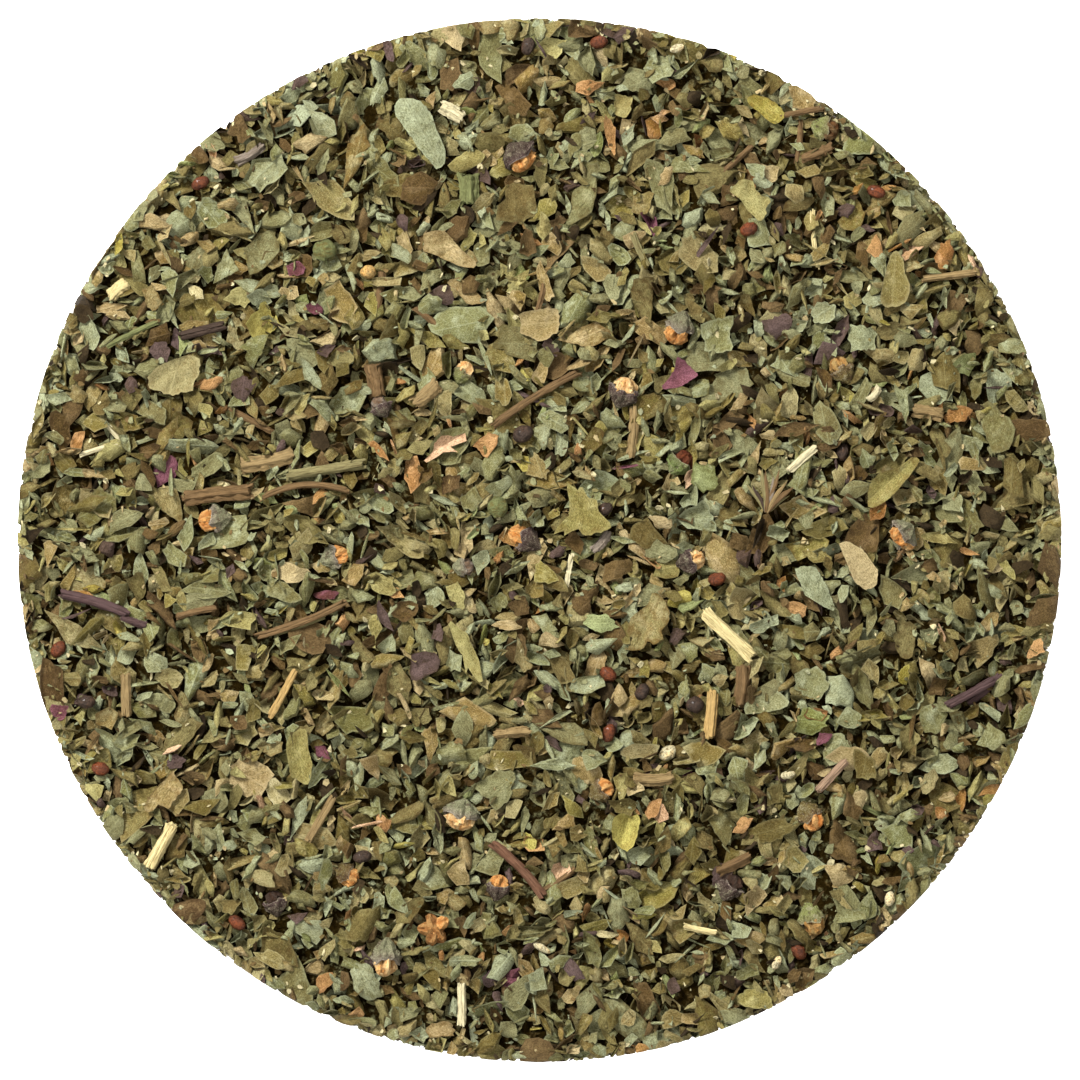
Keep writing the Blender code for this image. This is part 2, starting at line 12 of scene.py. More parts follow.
import bpy
import numpy as np
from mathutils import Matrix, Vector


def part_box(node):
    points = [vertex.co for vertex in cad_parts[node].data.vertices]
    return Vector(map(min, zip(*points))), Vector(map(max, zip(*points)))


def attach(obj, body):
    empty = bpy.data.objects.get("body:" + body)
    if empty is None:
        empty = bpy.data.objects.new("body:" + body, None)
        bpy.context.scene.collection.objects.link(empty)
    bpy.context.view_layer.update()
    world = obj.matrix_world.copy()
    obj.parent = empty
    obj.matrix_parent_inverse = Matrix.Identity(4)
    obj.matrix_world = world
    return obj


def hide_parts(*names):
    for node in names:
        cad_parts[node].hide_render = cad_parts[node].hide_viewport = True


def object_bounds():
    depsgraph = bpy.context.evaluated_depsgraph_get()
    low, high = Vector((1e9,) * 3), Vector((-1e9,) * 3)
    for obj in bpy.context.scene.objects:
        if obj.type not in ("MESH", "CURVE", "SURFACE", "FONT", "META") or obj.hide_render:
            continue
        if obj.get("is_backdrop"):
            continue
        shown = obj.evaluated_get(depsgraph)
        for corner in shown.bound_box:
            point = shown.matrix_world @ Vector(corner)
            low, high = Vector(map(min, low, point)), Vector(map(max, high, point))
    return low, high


bl_info = {
    "name": "Dried basil bed",
    "version": (1, 0, 0),
    "blender": (4, 5, 0),
    "location": "View3D > Sidebar > Basil",
    "description": "Makes the flakes, stems, flower cups and seeds of a round bed of dried basil",
    "category": "Object",
}

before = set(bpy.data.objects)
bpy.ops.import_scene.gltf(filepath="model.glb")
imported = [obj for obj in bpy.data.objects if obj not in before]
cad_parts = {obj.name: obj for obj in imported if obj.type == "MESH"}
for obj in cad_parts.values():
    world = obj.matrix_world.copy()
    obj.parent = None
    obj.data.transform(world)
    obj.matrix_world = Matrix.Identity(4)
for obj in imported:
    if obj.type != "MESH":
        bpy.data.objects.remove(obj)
CAD_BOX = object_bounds()
BED_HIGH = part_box("herb_bed")[1]

MM = 0.001
TAU = 2.0 * math.pi
SEED = 29

# The photograph: its scale, and the pixel on which the bed is centred
PIXELS_PER_MM = 8.36
PHOTO_MIDDLE = (539.5, 540.0)
PHOTO_SIDE = 1080.0

# The light that a dried piece throws back, against the tone that it shows under the full lights
DRIED = 0.50
# How far the hue moves on from one flake's seed to the next, before it starts again at 1
HUE_STEP = 0.731
# Kinds of flake with a smaller share than this have no large flakes
RARE = 0.05
# The angle between faces, in degrees, from which an edge is shaded sharp
SHARP = 34.0

# The height grids of the heaps, in mm: their pitch, and how much of the top's grid lies past the rim
GRID = 0.25
MARGIN = 7.0
# How deep below the surface each heap starts
HEAP_DEPTH = 2.3
SIDE_DEPTH = 1.3
UNDER_DEPTH = 0.5
# How far flakes may stand out of the top
CEILING = 0.35

# How a flake comes to rest: on this share of its own area, and pushed in this far under what lies over it
RESTING_SHARE = 0.95
PUSHED_IN = 0.30
SLOPE_FOLLOWED = 0.55
# The same for a flake with a place of its own, which parts of its neighbours may overlap
PLACED_SHARE = 0.90
PLACED_DEPTH = 0.60
PLACED_OVERLAP = 0.22
PLACED_RISE = 1.2
# How deep a loose piece lies in the flakes, as a share of its width
SUNK = 0.45

# The share of the flakes that try only spots near the rim, and how near
RIM_SHARE = 0.10
RIM_WIDTH = 1.6
# How many flakes lie on the side for each one on the top, and the share of their tilt that they keep
SIDE_SHARE = 0.36
SIDE_LARGE_SHARE = 0.8
SIDE_TILT = 0.4

# How flakes are broken and bent
RAGGED = 0.20
BITTEN_SHARE = 0.25
FOLDED_SHARE = 0.50
LIPPED_SHARE = 0.50
VEINED_SHARE = 0.45
STEEP_SHARE = 0.26
STEEPEST = 2.2

# A flake is made if the heap still shows so many cells of it
SHOWN_TOP = 6
SHOWN_SIDE = 9
SHOWN_UNDER = 2
SHOWN_CRUMB = 1

# Half of a flake's front and of its back in the bake, as shares of a tile, and the front with its rim
TILE_FRONT = 0.46
TILE_RIM = 1.12
TILE_BACK = 0.22


def linear(red, green, blue):
    """A colour as linear light, from the 0 to 255 of a screen."""
    shares = [channel / 255.0 for channel in (red, green, blue)]
    return tuple(s / 12.92 if s <= 0.04045 else ((s + 0.055) / 1.055) ** 2.4 for s in shares)


def dried(red, green, blue):
    """How much light a dried piece throws back that shows in this colour under the full lights."""
    return tuple(channel * DRIED for channel in linear(red, green, blue))


def length(name, description, millimetres):
    return bpy.props.FloatProperty(
        name=name, description=description, default=millimetres * MM, min=0.0, unit="LENGTH", precision=5
    )


def colour(name, description, tone):
    return bpy.props.FloatVectorProperty(
        name=name, description=description, default=dried(*tone), min=0.0, max=1.0, subtype="COLOR"
    )


def amount(name, description, share):
    return bpy.props.FloatProperty(
        name=name, description=description, default=share, min=0.0, max=1.0, subtype="FACTOR"
    )


def whole(name, description, count):
    return bpy.props.IntProperty(name=name, description=description, default=count, min=0)


def strength(name, description, power):
    return bpy.props.FloatProperty(name=name, description=description, default=power, min=0.0)


class BedSizes(bpy.types.PropertyGroup):
    """Sizes of the bed and of its flakes."""

    radius: length("Bed radius", "Radius of the round bed", BED_HIGH.x / MM)
    height: length("Bed height", "Height of the bed in the middle, without what stands out of it", 12.0)
    dome: length("Dome", "How much lower the top lies at the rim than in the middle", 1.0)
    lip: length("Lip", "How far the top rounds down at the rim", 0.35)
    lip_width: length("Lip width", "Width of the rounded rim", 1.2)
    thickness: length("Flake thickness", "Thickness of a dried leaf flake", 0.13)
    core_depth: length("Core depth", "How deep the packed dust lies under the top", 2.1)
    wall_depth: length("Wall depth", "How deep the packed dust lies behind the side", 0.75)
    large: whole("Large flakes", "Large flakes laid on the top", 1850)
    medium: whole("Medium flakes", "Medium flakes laid on the top", 5100)
    small: whole("Small flakes", "Small flakes laid on the top", 3300)
    slivers: whole("Slivers", "Narrow strips laid on the top", 1000)
    crumbs: whole("Crumbs", "Crumbs strewn on the top", 2400)
    under: whole("Underside flakes", "Flakes pressed flat on the underside", 2600)


class Kind(NamedTuple):
    """A kind of leaf flake: its tone and that of its patches, its share of the bed, how far its patches
    and veins show, and which leaf slot it takes."""

    name: str
    words: str
    tone: tuple
    patch: tuple
    share: float
    patchy: float
    veined: float
    slot: str


KINDS = (
    Kind("sage", "grey-green", (156, 161, 126), (150, 142, 92), 0.195, 0.45, 0.35, "sage"),
    Kind("moss", "duller green", (137, 136, 96), (124, 108, 64), 0.190, 0.55, 0.35, "flakes"),
    Kind("olive", "olive", (129, 119, 72), (104, 78, 36), 0.185, 0.60, 0.30, "olive"),
    Kind("khaki", "khaki", (158, 148, 102), (140, 108, 54), 0.135, 0.55, 0.30, "flakes"),
    Kind("straw_green", "olive-yellow", (164, 156, 98), (150, 126, 70), 0.065, 0.60, 0.30, "olive_yellow"),
    Kind("tan", "tan", (177, 158, 112), (154, 120, 68), 0.060, 0.60, 0.35, "tan"),
    Kind("brown", "brown", (114, 92, 54), (84, 60, 34), 0.085, 0.70, 0.40, "flakes"),
    Kind("dark", "blackish", (64, 50, 26), (44, 32, 20), 0.045, 0.50, 0.20, "flakes"),
    Kind("purple", "purple", (98, 78, 74), (92, 74, 62), 0.026, 0.60, 0.30, "purple"),
    Kind("yellow", "yellow", (176, 166, 84), (170, 140, 62), 0.005, 0.60, 0.40, "yellow"),
    Kind("fresh", "bright green", (150, 157, 104), (132, 134, 80), 0.012, 0.40, 0.40, "flakes"),
    Kind("ochre", "orange corolla", (190, 146, 90), (146, 92, 46), 0.012, 0.70, 0.10, "peach"),
    Kind("peach", "pale petal", (214, 176, 136), (176, 118, 74), 0.004, 0.60, 0.10, "pink_tan"),
    Kind("magenta", "dark pink petal", (132, 80, 92), (98, 54, 66), 0.002, 0.60, 0.20, "magenta"),
    Kind("cream", "pale pith and skin", (206, 194, 148), (170, 142, 88), 0.005, 0.40, 0.20, "flakes"),
)
KIND_NAMES = [kind.name for kind in KINDS]

DRY_TONES = {
    "straw": ("Pale straw stems", (212, 196, 140)),
    "golden": ("Golden stems", (178, 148, 92)),
    "brown": ("Brown stems", (112, 88, 56)),
    "red_brown": ("Red-brown fibre and seeds", (102, 56, 32)),
    "rust": ("Rusty brown stems", (110, 78, 58)),
    "dark_brown": ("Dark stems and seeds", (66, 52, 42)),
    "purple": ("Purple stems and cups", (82, 62, 60)),
    "mauve": ("Mauve stems and cups", (130, 118, 104)),
    "tan": ("Tan sticks", (142, 120, 80)),
    "magenta": ("Dark pink stalks", (150, 124, 100)),
    "cream": ("Cream stubs", (206, 196, 156)),
    "green": ("Green stalks, cups and buds", (112, 116, 72)),
    "olive": ("Olive stalks", (128, 120, 80)),
    "ochre": ("Ochre corollas", (222, 170, 104)),
    "peach": ("Peach corollas", (242, 208, 148)),
    # The dust's near-black tone is partly painted shade: it stands in for the shadow deep in the gaps between
    # the flakes.
    "dust": ("The packed dust between the flakes", (38, 28, 8)),
}


def titled(name):
    return name.replace("_", " ").capitalize()


def leaf_colours():
    """A colour for each kind of flake and one for its patches."""
    for kind in KINDS:
        yield kind.name, colour(titled(kind.name), f"Tone of the {kind.words} flakes", kind.tone)
        patch = f"{kind.name}_patch"
        yield patch, colour(titled(patch), f"Patches on the {kind.words} flakes", kind.patch)


class LeafColours(bpy.types.PropertyGroup):
    """The main tone of each kind of leaf flake, and the tone of its patches."""

    __annotations__ = dict(leaf_colours())


class DryColours(bpy.types.PropertyGroup):
    """Colours of the stems, cups, buds, seeds and dust; the dust's near-black tone is partly painted shade
    for the deep gaps.
    """

    __annotations__ = {name: colour(titled(name), words, tone) for name, (words, tone) in DRY_TONES.items()}


class StageSizes(bpy.types.PropertyGroup):
    """The floor, the lights and the camera."""

    camera_height: length("Camera height", "Height of the camera above the floor", 2000.0)
    floor: bpy.props.FloatVectorProperty(
        name="Floor", description="Colour of the pale floor", default=(0.95, 0.95, 0.95), subtype="COLOR"
    )
    floor_glow: amount("Floor glow", "Light that the floor adds of its own, so that it stays white", 0.80)
    sky: strength("Sky", "Strength of the light from all round", 1.66)
    key: strength("Key", "Power of the softbox above", 22.4)
    key_size: length("Key size", "Side of the softbox above", 200.0)


class Grade(NamedTuple):
    """A grade of flakes: their length in mm, their width as a share of it, and how finely they are made."""

    name: str
    lengths: tuple
    aspects: tuple
    points: int
    rings: tuple
    tilt: float
    curl: float


LARGE = Grade("large", (4.0, 8.0), (0.32, 0.80), 16, (0.38, 0.74, 1.0), 0.32, 1.25)
MEDIUM = Grade("medium", (2.5, 4.3), (0.30, 0.84), 12, (0.55, 1.0), 0.42, 1.05)
SMALL = Grade("small", (1.3, 2.5), (0.26, 0.84), 9, (1.0,), 0.50, 0.36)
SLIVER = Grade("sliver", (2.2, 5.2), (0.09, 0.20), 8, (1.0,), 0.30, 0.40)
SIDE_LARGE = Grade("large on the side", (4.0, 8.0), (0.32, 0.80), 13, (0.5, 1.0), 0.32, 1.00)
SIDE_MEDIUM = Grade("medium on the side", (2.5, 4.3), (0.30, 0.84), 9, (0.55, 1.0), 0.42, 0.80)
PLACED = Grade("placed", (3.0, 5.0), (0.5, 0.9), 26, (0.3, 0.6, 0.85, 1.0), 0.16, 0.60)
CRUMB = Grade("crumb", (0.45, 1.1), (0.35, 0.95), 6, (1.0,), 0.45, 0.08)
FLAT = Grade("flat", (2.6, 6.0), (0.45, 0.90), 11, (1.0,), 0.03, 0.05)


def to_photo(pixel_x, pixel_y):
    """The place on the bed, in mm, that shows at a pixel of the photograph."""
    return complex(pixel_x - PHOTO_MIDDLE[0], PHOTO_MIDDLE[1] - pixel_y) / PIXELS_PER_MM


def facing(degrees):
    """The direction of a heading, as a complex number."""
    return np.exp(1j * math.radians(degrees))


def dot(first, second):
    """The scalar product of places or directions kept as complex numbers."""
    return first.real * second.real + first.imag * second.imag


class Heap:
    """A stretch of the bed's surface laid out flat, in mm, with the heap of flakes on it.

    Places are complex numbers and heights are counted outwards from the surface. The heap is a grid
    of heights. The ceiling is how high flakes may reach at each place.
    """

    wraps = False

    def __init__(self, sizes, low, high):
        self.sizes = sizes
        self.thickness = sizes.thickness / MM
        self.low = low
        size = high - low
        count = (math.ceil(size.real / GRID), math.ceil(size.imag / GRID))
        self.count = count
        self.ground = np.full(count, -HEAP_DEPTH)
        self.ceiling = np.full(count, CEILING)
        self.shown = np.full(count, -1)

    def coarseness(self, spot):
        """How large the flakes are at a spot, against the mean."""
        return np.ones(np.shape(spot))

    def window(self, spot, reach):
        """The cells within reach of a spot, and their places as seen from it."""
        first = (spot - self.low - complex(reach, reach)) / GRID
        steps = int(2.0 * reach / GRID) + 2
        rows = np.arange(int(first.real), int(first.real) + steps)
        columns = np.arange(int(first.imag), int(first.imag) + steps)
        if not self.wraps:
            rows = rows[(rows >= 0) & (rows < self.count[0])]
        columns = columns[(columns >= 0) & (columns < self.count[1])]
        away = (rows[:, None] + 0.5) * GRID + 1j * (columns[None, :] + 0.5) * GRID + self.low - spot
        return np.ix_(rows % self.count[0], columns), away

    def heights(self, spots):
        """The ground at each of many spots."""
        cells = (spots - self.low) / GRID
        rows = cells.real.astype(int) % self.count[0]
        columns = np.clip(cells.imag.astype(int), 0, self.count[1] - 1)
        return self.ground[rows, columns]

    def hold_down(self, spot, heading, half_length, half_width, height):
        """Keeps flakes below a height where a piece of that size is to lie."""
        cells, away = self.window(spot, max(half_length, half_width))
        local = away * np.conj(heading)
        inside = np.abs(local.real / half_length) ** 3 + np.abs(local.imag / half_width) ** 3 < 1.0
        self.ceiling[cells] = np.where(inside, np.minimum(self.ceiling[cells], height), self.ceiling[cells])

    def rest_height(self, spot, reach):
        """How high a piece of that reach would lie on the heap at a spot."""
        cells, away = self.window(spot, reach)
        near = self.ground[cells][np.abs(away) < reach]
        return float(np.quantile(near, 0.6)) if near.size else -1.0


class TopHeap(Heap):
    """The bed's top: a disc, a little domed, with a lip rounded down at the rim."""

    flat_axes = ((1.0, 0.0, 0.0), (0.0, 1.0, 0.0), (0.0, 0.0, 1.0))

    def __init__(self, sizes):
        self.radius = sizes.radius / MM
        edge = self.radius + MARGIN
        super().__init__(sizes, complex(-edge, -edge), complex(edge, edge))

    def scatter(self, rng, shape):
        """Spots all over the disc. Some flakes try only spots close to the rim, so that it is full."""
        reach = (self.radius - 0.2) * np.sqrt(rng.random(shape))
        at_rim = self.radius - rng.uniform(0.1, RIM_WIDTH, shape)
        reach = np.where(rng.random((shape[0], 1)) < RIM_SHARE, at_rim, reach)
        return reach * np.exp(1j * rng.uniform(0.0, TAU, shape))

    def room(self, spot, direction):
        """How far it is from a spot to the rim in a direction."""
        along = dot(spot, direction)
        return -along + np.sqrt(np.maximum(along**2 + self.radius**2 - np.abs(spot) ** 2, 0.0))

    def coarseness(self, spot):
        """The flakes get finer towards the lower right of the photograph."""
        toward = dot(spot / self.radius, complex(0.7, -0.7))
        return 1.10 - 0.24 * np.clip(toward, -0.3, 0.8)

    def surface(self, spot):
        radius = np.abs(spot)
        sizes = self.sizes
        outer = np.clip((radius - (self.radius - sizes.lip_width / MM)) / (sizes.lip_width / MM), 0.0, 1.0)
        return (sizes.height - sizes.dome * (radius / self.radius) ** 2 - sizes.lip * outer**2) / MM

    def place(self, spot, height):
        points = np.stack([spot.real, spot.imag, self.surface(spot) + height], axis=-1)
        return self.kept_in(points)

    def kept_in(self, points):
        """Draws points in that would stand out of the round wall."""
        radius = np.hypot(points[..., 0], points[..., 1])
        draw = np.minimum(1.0, self.radius / np.maximum(radius, 1e-6))
        points[..., 0] *= draw
        points[..., 1] *= draw
        return points

    def axes(self, spot):
        """The directions in space of the two ways along the surface and of the way out of it."""
        shape = np.shape(spot) + (3,)
        return [np.broadcast_to(np.array(axis), shape) for axis in self.flat_axes]


class UnderHeap(TopHeap):
    """The bed's underside, seen from below: a flat disc, with flakes pressed flat against the ground."""

    flat_axes = ((1.0, 0.0, 0.0), (0.0, -1.0, 0.0), (0.0, 0.0, -1.0))

    def __init__(self, sizes):
        super().__init__(sizes)
        self.ground[:] = -UNDER_DEPTH
        self.ceiling[:] = 0.0

    def surface(self, spot):
        return np.zeros(np.shape(spot))

    def place(self, spot, height):
        points = np.stack([spot.real, -spot.imag, np.maximum(-height, 0.0)], axis=-1)
        return self.kept_in(points)


class SideHeap(Heap):
    """The bed's upright side, unrolled: along is the way round, and across is the height."""

    wraps = True

    def __init__(self, sizes):
        self.radius = sizes.radius / MM
        self.tall = (sizes.height - sizes.dome - sizes.lip) / MM - 0.5
        super().__init__(sizes, complex(0.0, 0.0), complex(TAU * self.radius, self.tall))
        self.ground[:] = -SIDE_DEPTH
        self.ceiling[:] = 0.0

    def scatter(self, rng, shape):
        return rng.uniform(0.0, TAU * self.radius, shape) + 1j * rng.uniform(0.1, self.tall - 0.1, shape)

    def room(self, spot, direction):
        rise = direction.imag
        up = (self.tall - spot.imag) / np.maximum(rise, 1e-6)
        down = spot.imag / np.maximum(-rise, 1e-6)
        return np.where(rise > 0.0, up, down)

    def place(self, spot, height):
        turn = spot.real / self.radius
        radius = self.radius + np.minimum(height, 0.0)
        return np.stack([radius * np.cos(turn), radius * np.sin(turn), np.maximum(spot.imag, 0.0)], axis=-1)

    def axes(self, spot):
        turn = spot.real / self.radius
        flat = np.zeros(np.shape(turn))
        tangent = np.stack([-np.sin(turn), np.cos(turn), flat], axis=-1)
        upward = np.stack([flat, flat, flat + 1.0], axis=-1)
        outward = np.stack([np.cos(turn), np.sin(turn), flat], axis=-1)
        return [tangent, upward, outward]


class Bend(NamedTuple):
    """How flakes are bent, one value for each: slopes and waves are complex, and the rest in mm."""

    slope: np.ndarray
    fold: np.ndarray
    crease: np.ndarray
    crease_at: np.ndarray
    curl_along: np.ndarray
    curl_across: np.ndarray
    crinkle: np.ndarray
    wave: np.ndarray
    phase: np.ndarray
    ripple: np.ndarray
    ripple_wave: np.ndarray
    ripple_phase: np.ndarray
    lip: np.ndarray


def relief(bend, local, share):
    """How high a bent flake stands at a place in it, given how near to its edge that is."""
    return (
        dot(bend.slope, local)
        + bend.fold * np.abs(dot(bend.crease, local) - bend.crease_at)
        + bend.curl_along * local.real**2
        + bend.curl_across * local.imag**2
        + bend.crinkle * np.sin(dot(bend.wave, local) + bend.phase)
        + bend.ripple * np.sin(dot(bend.ripple_wave, local) + bend.ripple_phase)
        + bend.lip * share**6
    )


def straight_edges(at, reach, points):
    """How far a polygon reaches in each of the evenly spread directions, given its corners' reaches."""
    index = np.arange(points)
    after = np.searchsorted(at, index, side="right") % len(at)
    before = after - 1
    behind = TAU * ((index - at[before]) % points) / points
    ahead = TAU * ((at[after] - index) % points) / points
    first, second = reach[before], reach[after]
    across = first * np.sin(behind) + second * np.sin(ahead)
    return first * second * np.sin(behind + ahead) / np.maximum(across, 0.02)


def cut_outlines(rng, count, points):
    """Edges of broken leaf: how far each reaches from its middle in every direction.

    A flake is what a few straight breaks leave of a leaf, so it has a few sharp corners. Its edges
    are a little ragged, and some flakes have a bite out of them.
    """
    outlines = np.empty((count, points))
    for outline in outlines:
        number = rng.integers(4, 7)
        turns = (np.arange(number) + rng.uniform(-0.36, 0.36, number)) / number * points
        at = np.unique(np.round(turns).astype(int) % points)
        reach = rng.uniform(0.58, 1.16, len(at))
        straight = np.clip(straight_edges(at, reach, points), 0.3, 1.3)
        rounded = np.interp(np.arange(points), at, reach, period=points)
        outline[:] = straight + (rounded - straight) * rng.uniform(0.0, 0.22)
    outlines *= 1.0 - RAGGED * rng.random((count, points)) ** 2
    bite = rng.uniform(0.0, TAU, (count, 1))
    deep = np.where(rng.random((count, 1)) < BITTEN_SHARE, rng.uniform(0.15, 0.45, (count, 1)), 0.0)
    near = np.abs((TAU * np.arange(points) / points - bite + math.pi) % TAU - math.pi)
    return np.maximum(outlines * (1.0 - deep * np.exp(-((near / 0.36) ** 2))), 0.2)


class Flakes:
    """Flakes of one grade as arrays: where each lies, how it is cut and bent, and its kind and tone."""

    def __init__(self, rng, heap, grade, count, tries=4):
        self.grade = grade
        self.heap = heap
        self.tries = heap.scatter(rng, (count, tries))
        self.spot = self.tries[:, 0].copy()
        self.heading = np.exp(1j * rng.uniform(0.0, TAU, count))
        low, high = grade.lengths
        self.half_length = 0.5 * (low + (high - low) * rng.random(count) ** 1.7)
        self.half_length *= heap.coarseness(self.tries[:, 0])
        self.half_width = self.half_length * rng.uniform(*grade.aspects, count)
        self.outline = cut_outlines(rng, count, grade.points)
        self.height = np.zeros(count)
        self.number = np.full(count, -1)
        self.seed = rng.uniform(0.0, 90.0, count)
        self.light = rng.random(count)
        self.patchy = rng.random(count) ** 1.4
        self.veined = (rng.random(count) < VEINED_SHARE) * rng.uniform(0.3, 1.0, count)
        shares = np.array([kind.share for kind in KINDS])
        if grade.name == "large":
            shares = np.where(shares > RARE, shares, 0.0)
        self.kind = rng.choice(len(KINDS), count, p=shares / shares.sum())
        self.bend = self.bends(rng, count)

    def bends(self, rng, count):
        tilt = self.grade.tilt
        curl = self.grade.curl
        steep = rng.random(count) < STEEP_SHARE
        lean = np.abs(rng.normal(0.0, tilt, count)) + steep * rng.uniform(0.4, 1.5, count)
        sideways = 1j * rng.choice((-1.0, 1.0), count) * np.exp(1j * rng.uniform(-0.7, 0.7, count))
        self.half_width /= np.sqrt(1.0 + lean**2)
        wave = rng.uniform(1.3, 3.2, count) * np.exp(1j * rng.uniform(0.0, TAU, count))
        ripple = rng.uniform(3.5, 6.5, count) * np.exp(1j * rng.uniform(0.0, TAU, count))
        size = self.half_length
        return Bend(
            slope=np.minimum(lean, STEEPEST) * sideways,
            fold=np.where(rng.random(count) < FOLDED_SHARE, rng.uniform(-0.75, 0.75, count), 0.0),
            crease=np.exp(1j * rng.uniform(0.0, TAU, count)),
            crease_at=rng.uniform(-0.4, 0.4, count) * size,
            curl_along=rng.normal(0.0, curl, count) / size**2 * 0.8,
            curl_across=rng.normal(0.0, curl, count) / self.half_width**2 * 0.8,
            crinkle=rng.uniform(0.02, 0.10, count) * size**0.5,
            wave=wave,
            phase=rng.uniform(0.0, TAU, count),
            ripple=rng.uniform(0.0, 0.035, count),
            ripple_wave=ripple,
            ripple_phase=rng.uniform(0.0, TAU, count),
            lip=rng.normal(0.0, 0.5 * curl, count) * (rng.random(count) < LIPPED_SHARE),
        )

    def bend_of(self, index):
        """How one flake is bent, or each of many."""
        return Bend(*(values[index] for values in self.bend))

    def set_place(self, index, spot, heading, half_length, half_width, kind_name):
        """Gives a flake a place, a size and a kind of its own."""
        self.spot[index] = spot
        self.heading[index] = heading
        self.half_length[index] = half_length
        self.half_width[index] = half_width
        self.kind[index] = KIND_NAMES.index(kind_name)

    def cut_at_rim(self, index):
        """Cuts a flake's edge where it would reach past the rim of what it lies on."""
        points = self.outline.shape[1]
        angles = TAU * np.arange(points) / points
        outward = self.half_length[index] * np.cos(angles) + 1j * self.half_width[index] * np.sin(angles)
        outward = outward * self.heading[index]
        size = np.abs(outward)
        room = self.heap.room(self.spot[index], outward / size)
        self.outline[index] = np.minimum(self.outline[index], np.maximum(room, 0.02) / size)

    def cover(self, index):
        """The cells that a flake covers, where they are seen from it, and how near each is to its edge."""
        half_length, half_width = self.half_length[index], self.half_width[index]
        outline = self.outline[index]
        points = len(outline)
        reach = max(half_length, half_width) * outline.max()
        cells, away = self.heap.window(self.spot[index], reach)
        local = away * np.conj(self.heading[index])
        unit = local.real / half_length + 1j * local.imag / half_width
        turn = (np.angle(unit) / TAU * points) % points
        before = turn.astype(int) % points
        part = turn - turn.astype(int)
        border = outline[before] * (1.0 - part) + outline[(before + 1) % points] * part
        return cells, away, local, np.abs(unit) / border

    def follow(self, index, away, under):
        """Tilts a flake with the slope of what lies under it."""
        from_middle = away - away.mean()
        spread = (np.abs(from_middle) ** 2).sum() / 2.0
        slope = (from_middle * (under - under.mean())).sum() / spread
        slope *= SLOPE_FOLLOWED / max(1.0, abs(slope) / 0.9)
        self.bend.slope[index] += slope * np.conj(self.heading[index])

    def keep_free(self, index):
        """Keeps what is laid later below a flake that already has its place."""
        cells, _, local, share = self.cover(index)
        raised = relief(self.bend_of(index), local, np.minimum(share, 1.0))
        low = raised + self.height[index] - 0.5 * self.heap.thickness
        ceiling = self.heap.ceiling
        ceiling[cells] = np.where(share < 0.9, np.minimum(ceiling[cells], low), ceiling[cells])

    def lay(self, index, number, placed=False):
        """Lays one flake on the heap, on the lowest of the spots it might fall on, unless it is placed."""
        heap = self.heap
        if not placed:
            tries = self.tries[index]
            self.spot[index] = tries[np.argmin(heap.heights(tries))]
        self.cut_at_rim(index)
        cells, away, local, share = self.cover(index)
        inside = share < 1.0
        if not inside.any():
            return
        ground = heap.ground[cells]
        under = ground[inside]
        if under.size > 12:
            self.follow(index, away[inside], under)
        raised = relief(self.bend_of(index), local, np.minimum(share, 1.0))
        gaps = under - raised[inside]
        rank = int((PLACED_SHARE if placed else RESTING_SHARE) * (gaps.size - 1))
        height = np.partition(gaps, rank)[rank]
        room = heap.ceiling[cells][inside] - raised[inside]
        spared = int((PLACED_OVERLAP if placed else 0.0) * (room.size - 1))
        most = min(np.partition(room, spared)[spared], PLACED_RISE - raised[inside].max()) - heap.thickness
        if height > most + PUSHED_IN and not placed:
            return
        height = min(height, most)
        self.height[index] = height
        self.number[index] = number
        top = raised + height + heap.thickness
        above = inside & (top > ground)
        heap.ground[cells] = np.where(above, top, ground)
        heap.shown[cells] = np.where(above, number, heap.shown[cells])


def heap_up(rng, batches, first=0):
    """Lays batches of flakes in mixed order and returns the next free number."""
    order = [(which, index) for which, flakes in enumerate(batches) for index in range(len(flakes.spot))]
    order = np.array(order)
    rng.shuffle(order)
    for number, (which, index) in enumerate(order, first):
        batches[which].lay(index, number)
    return first + len(order)


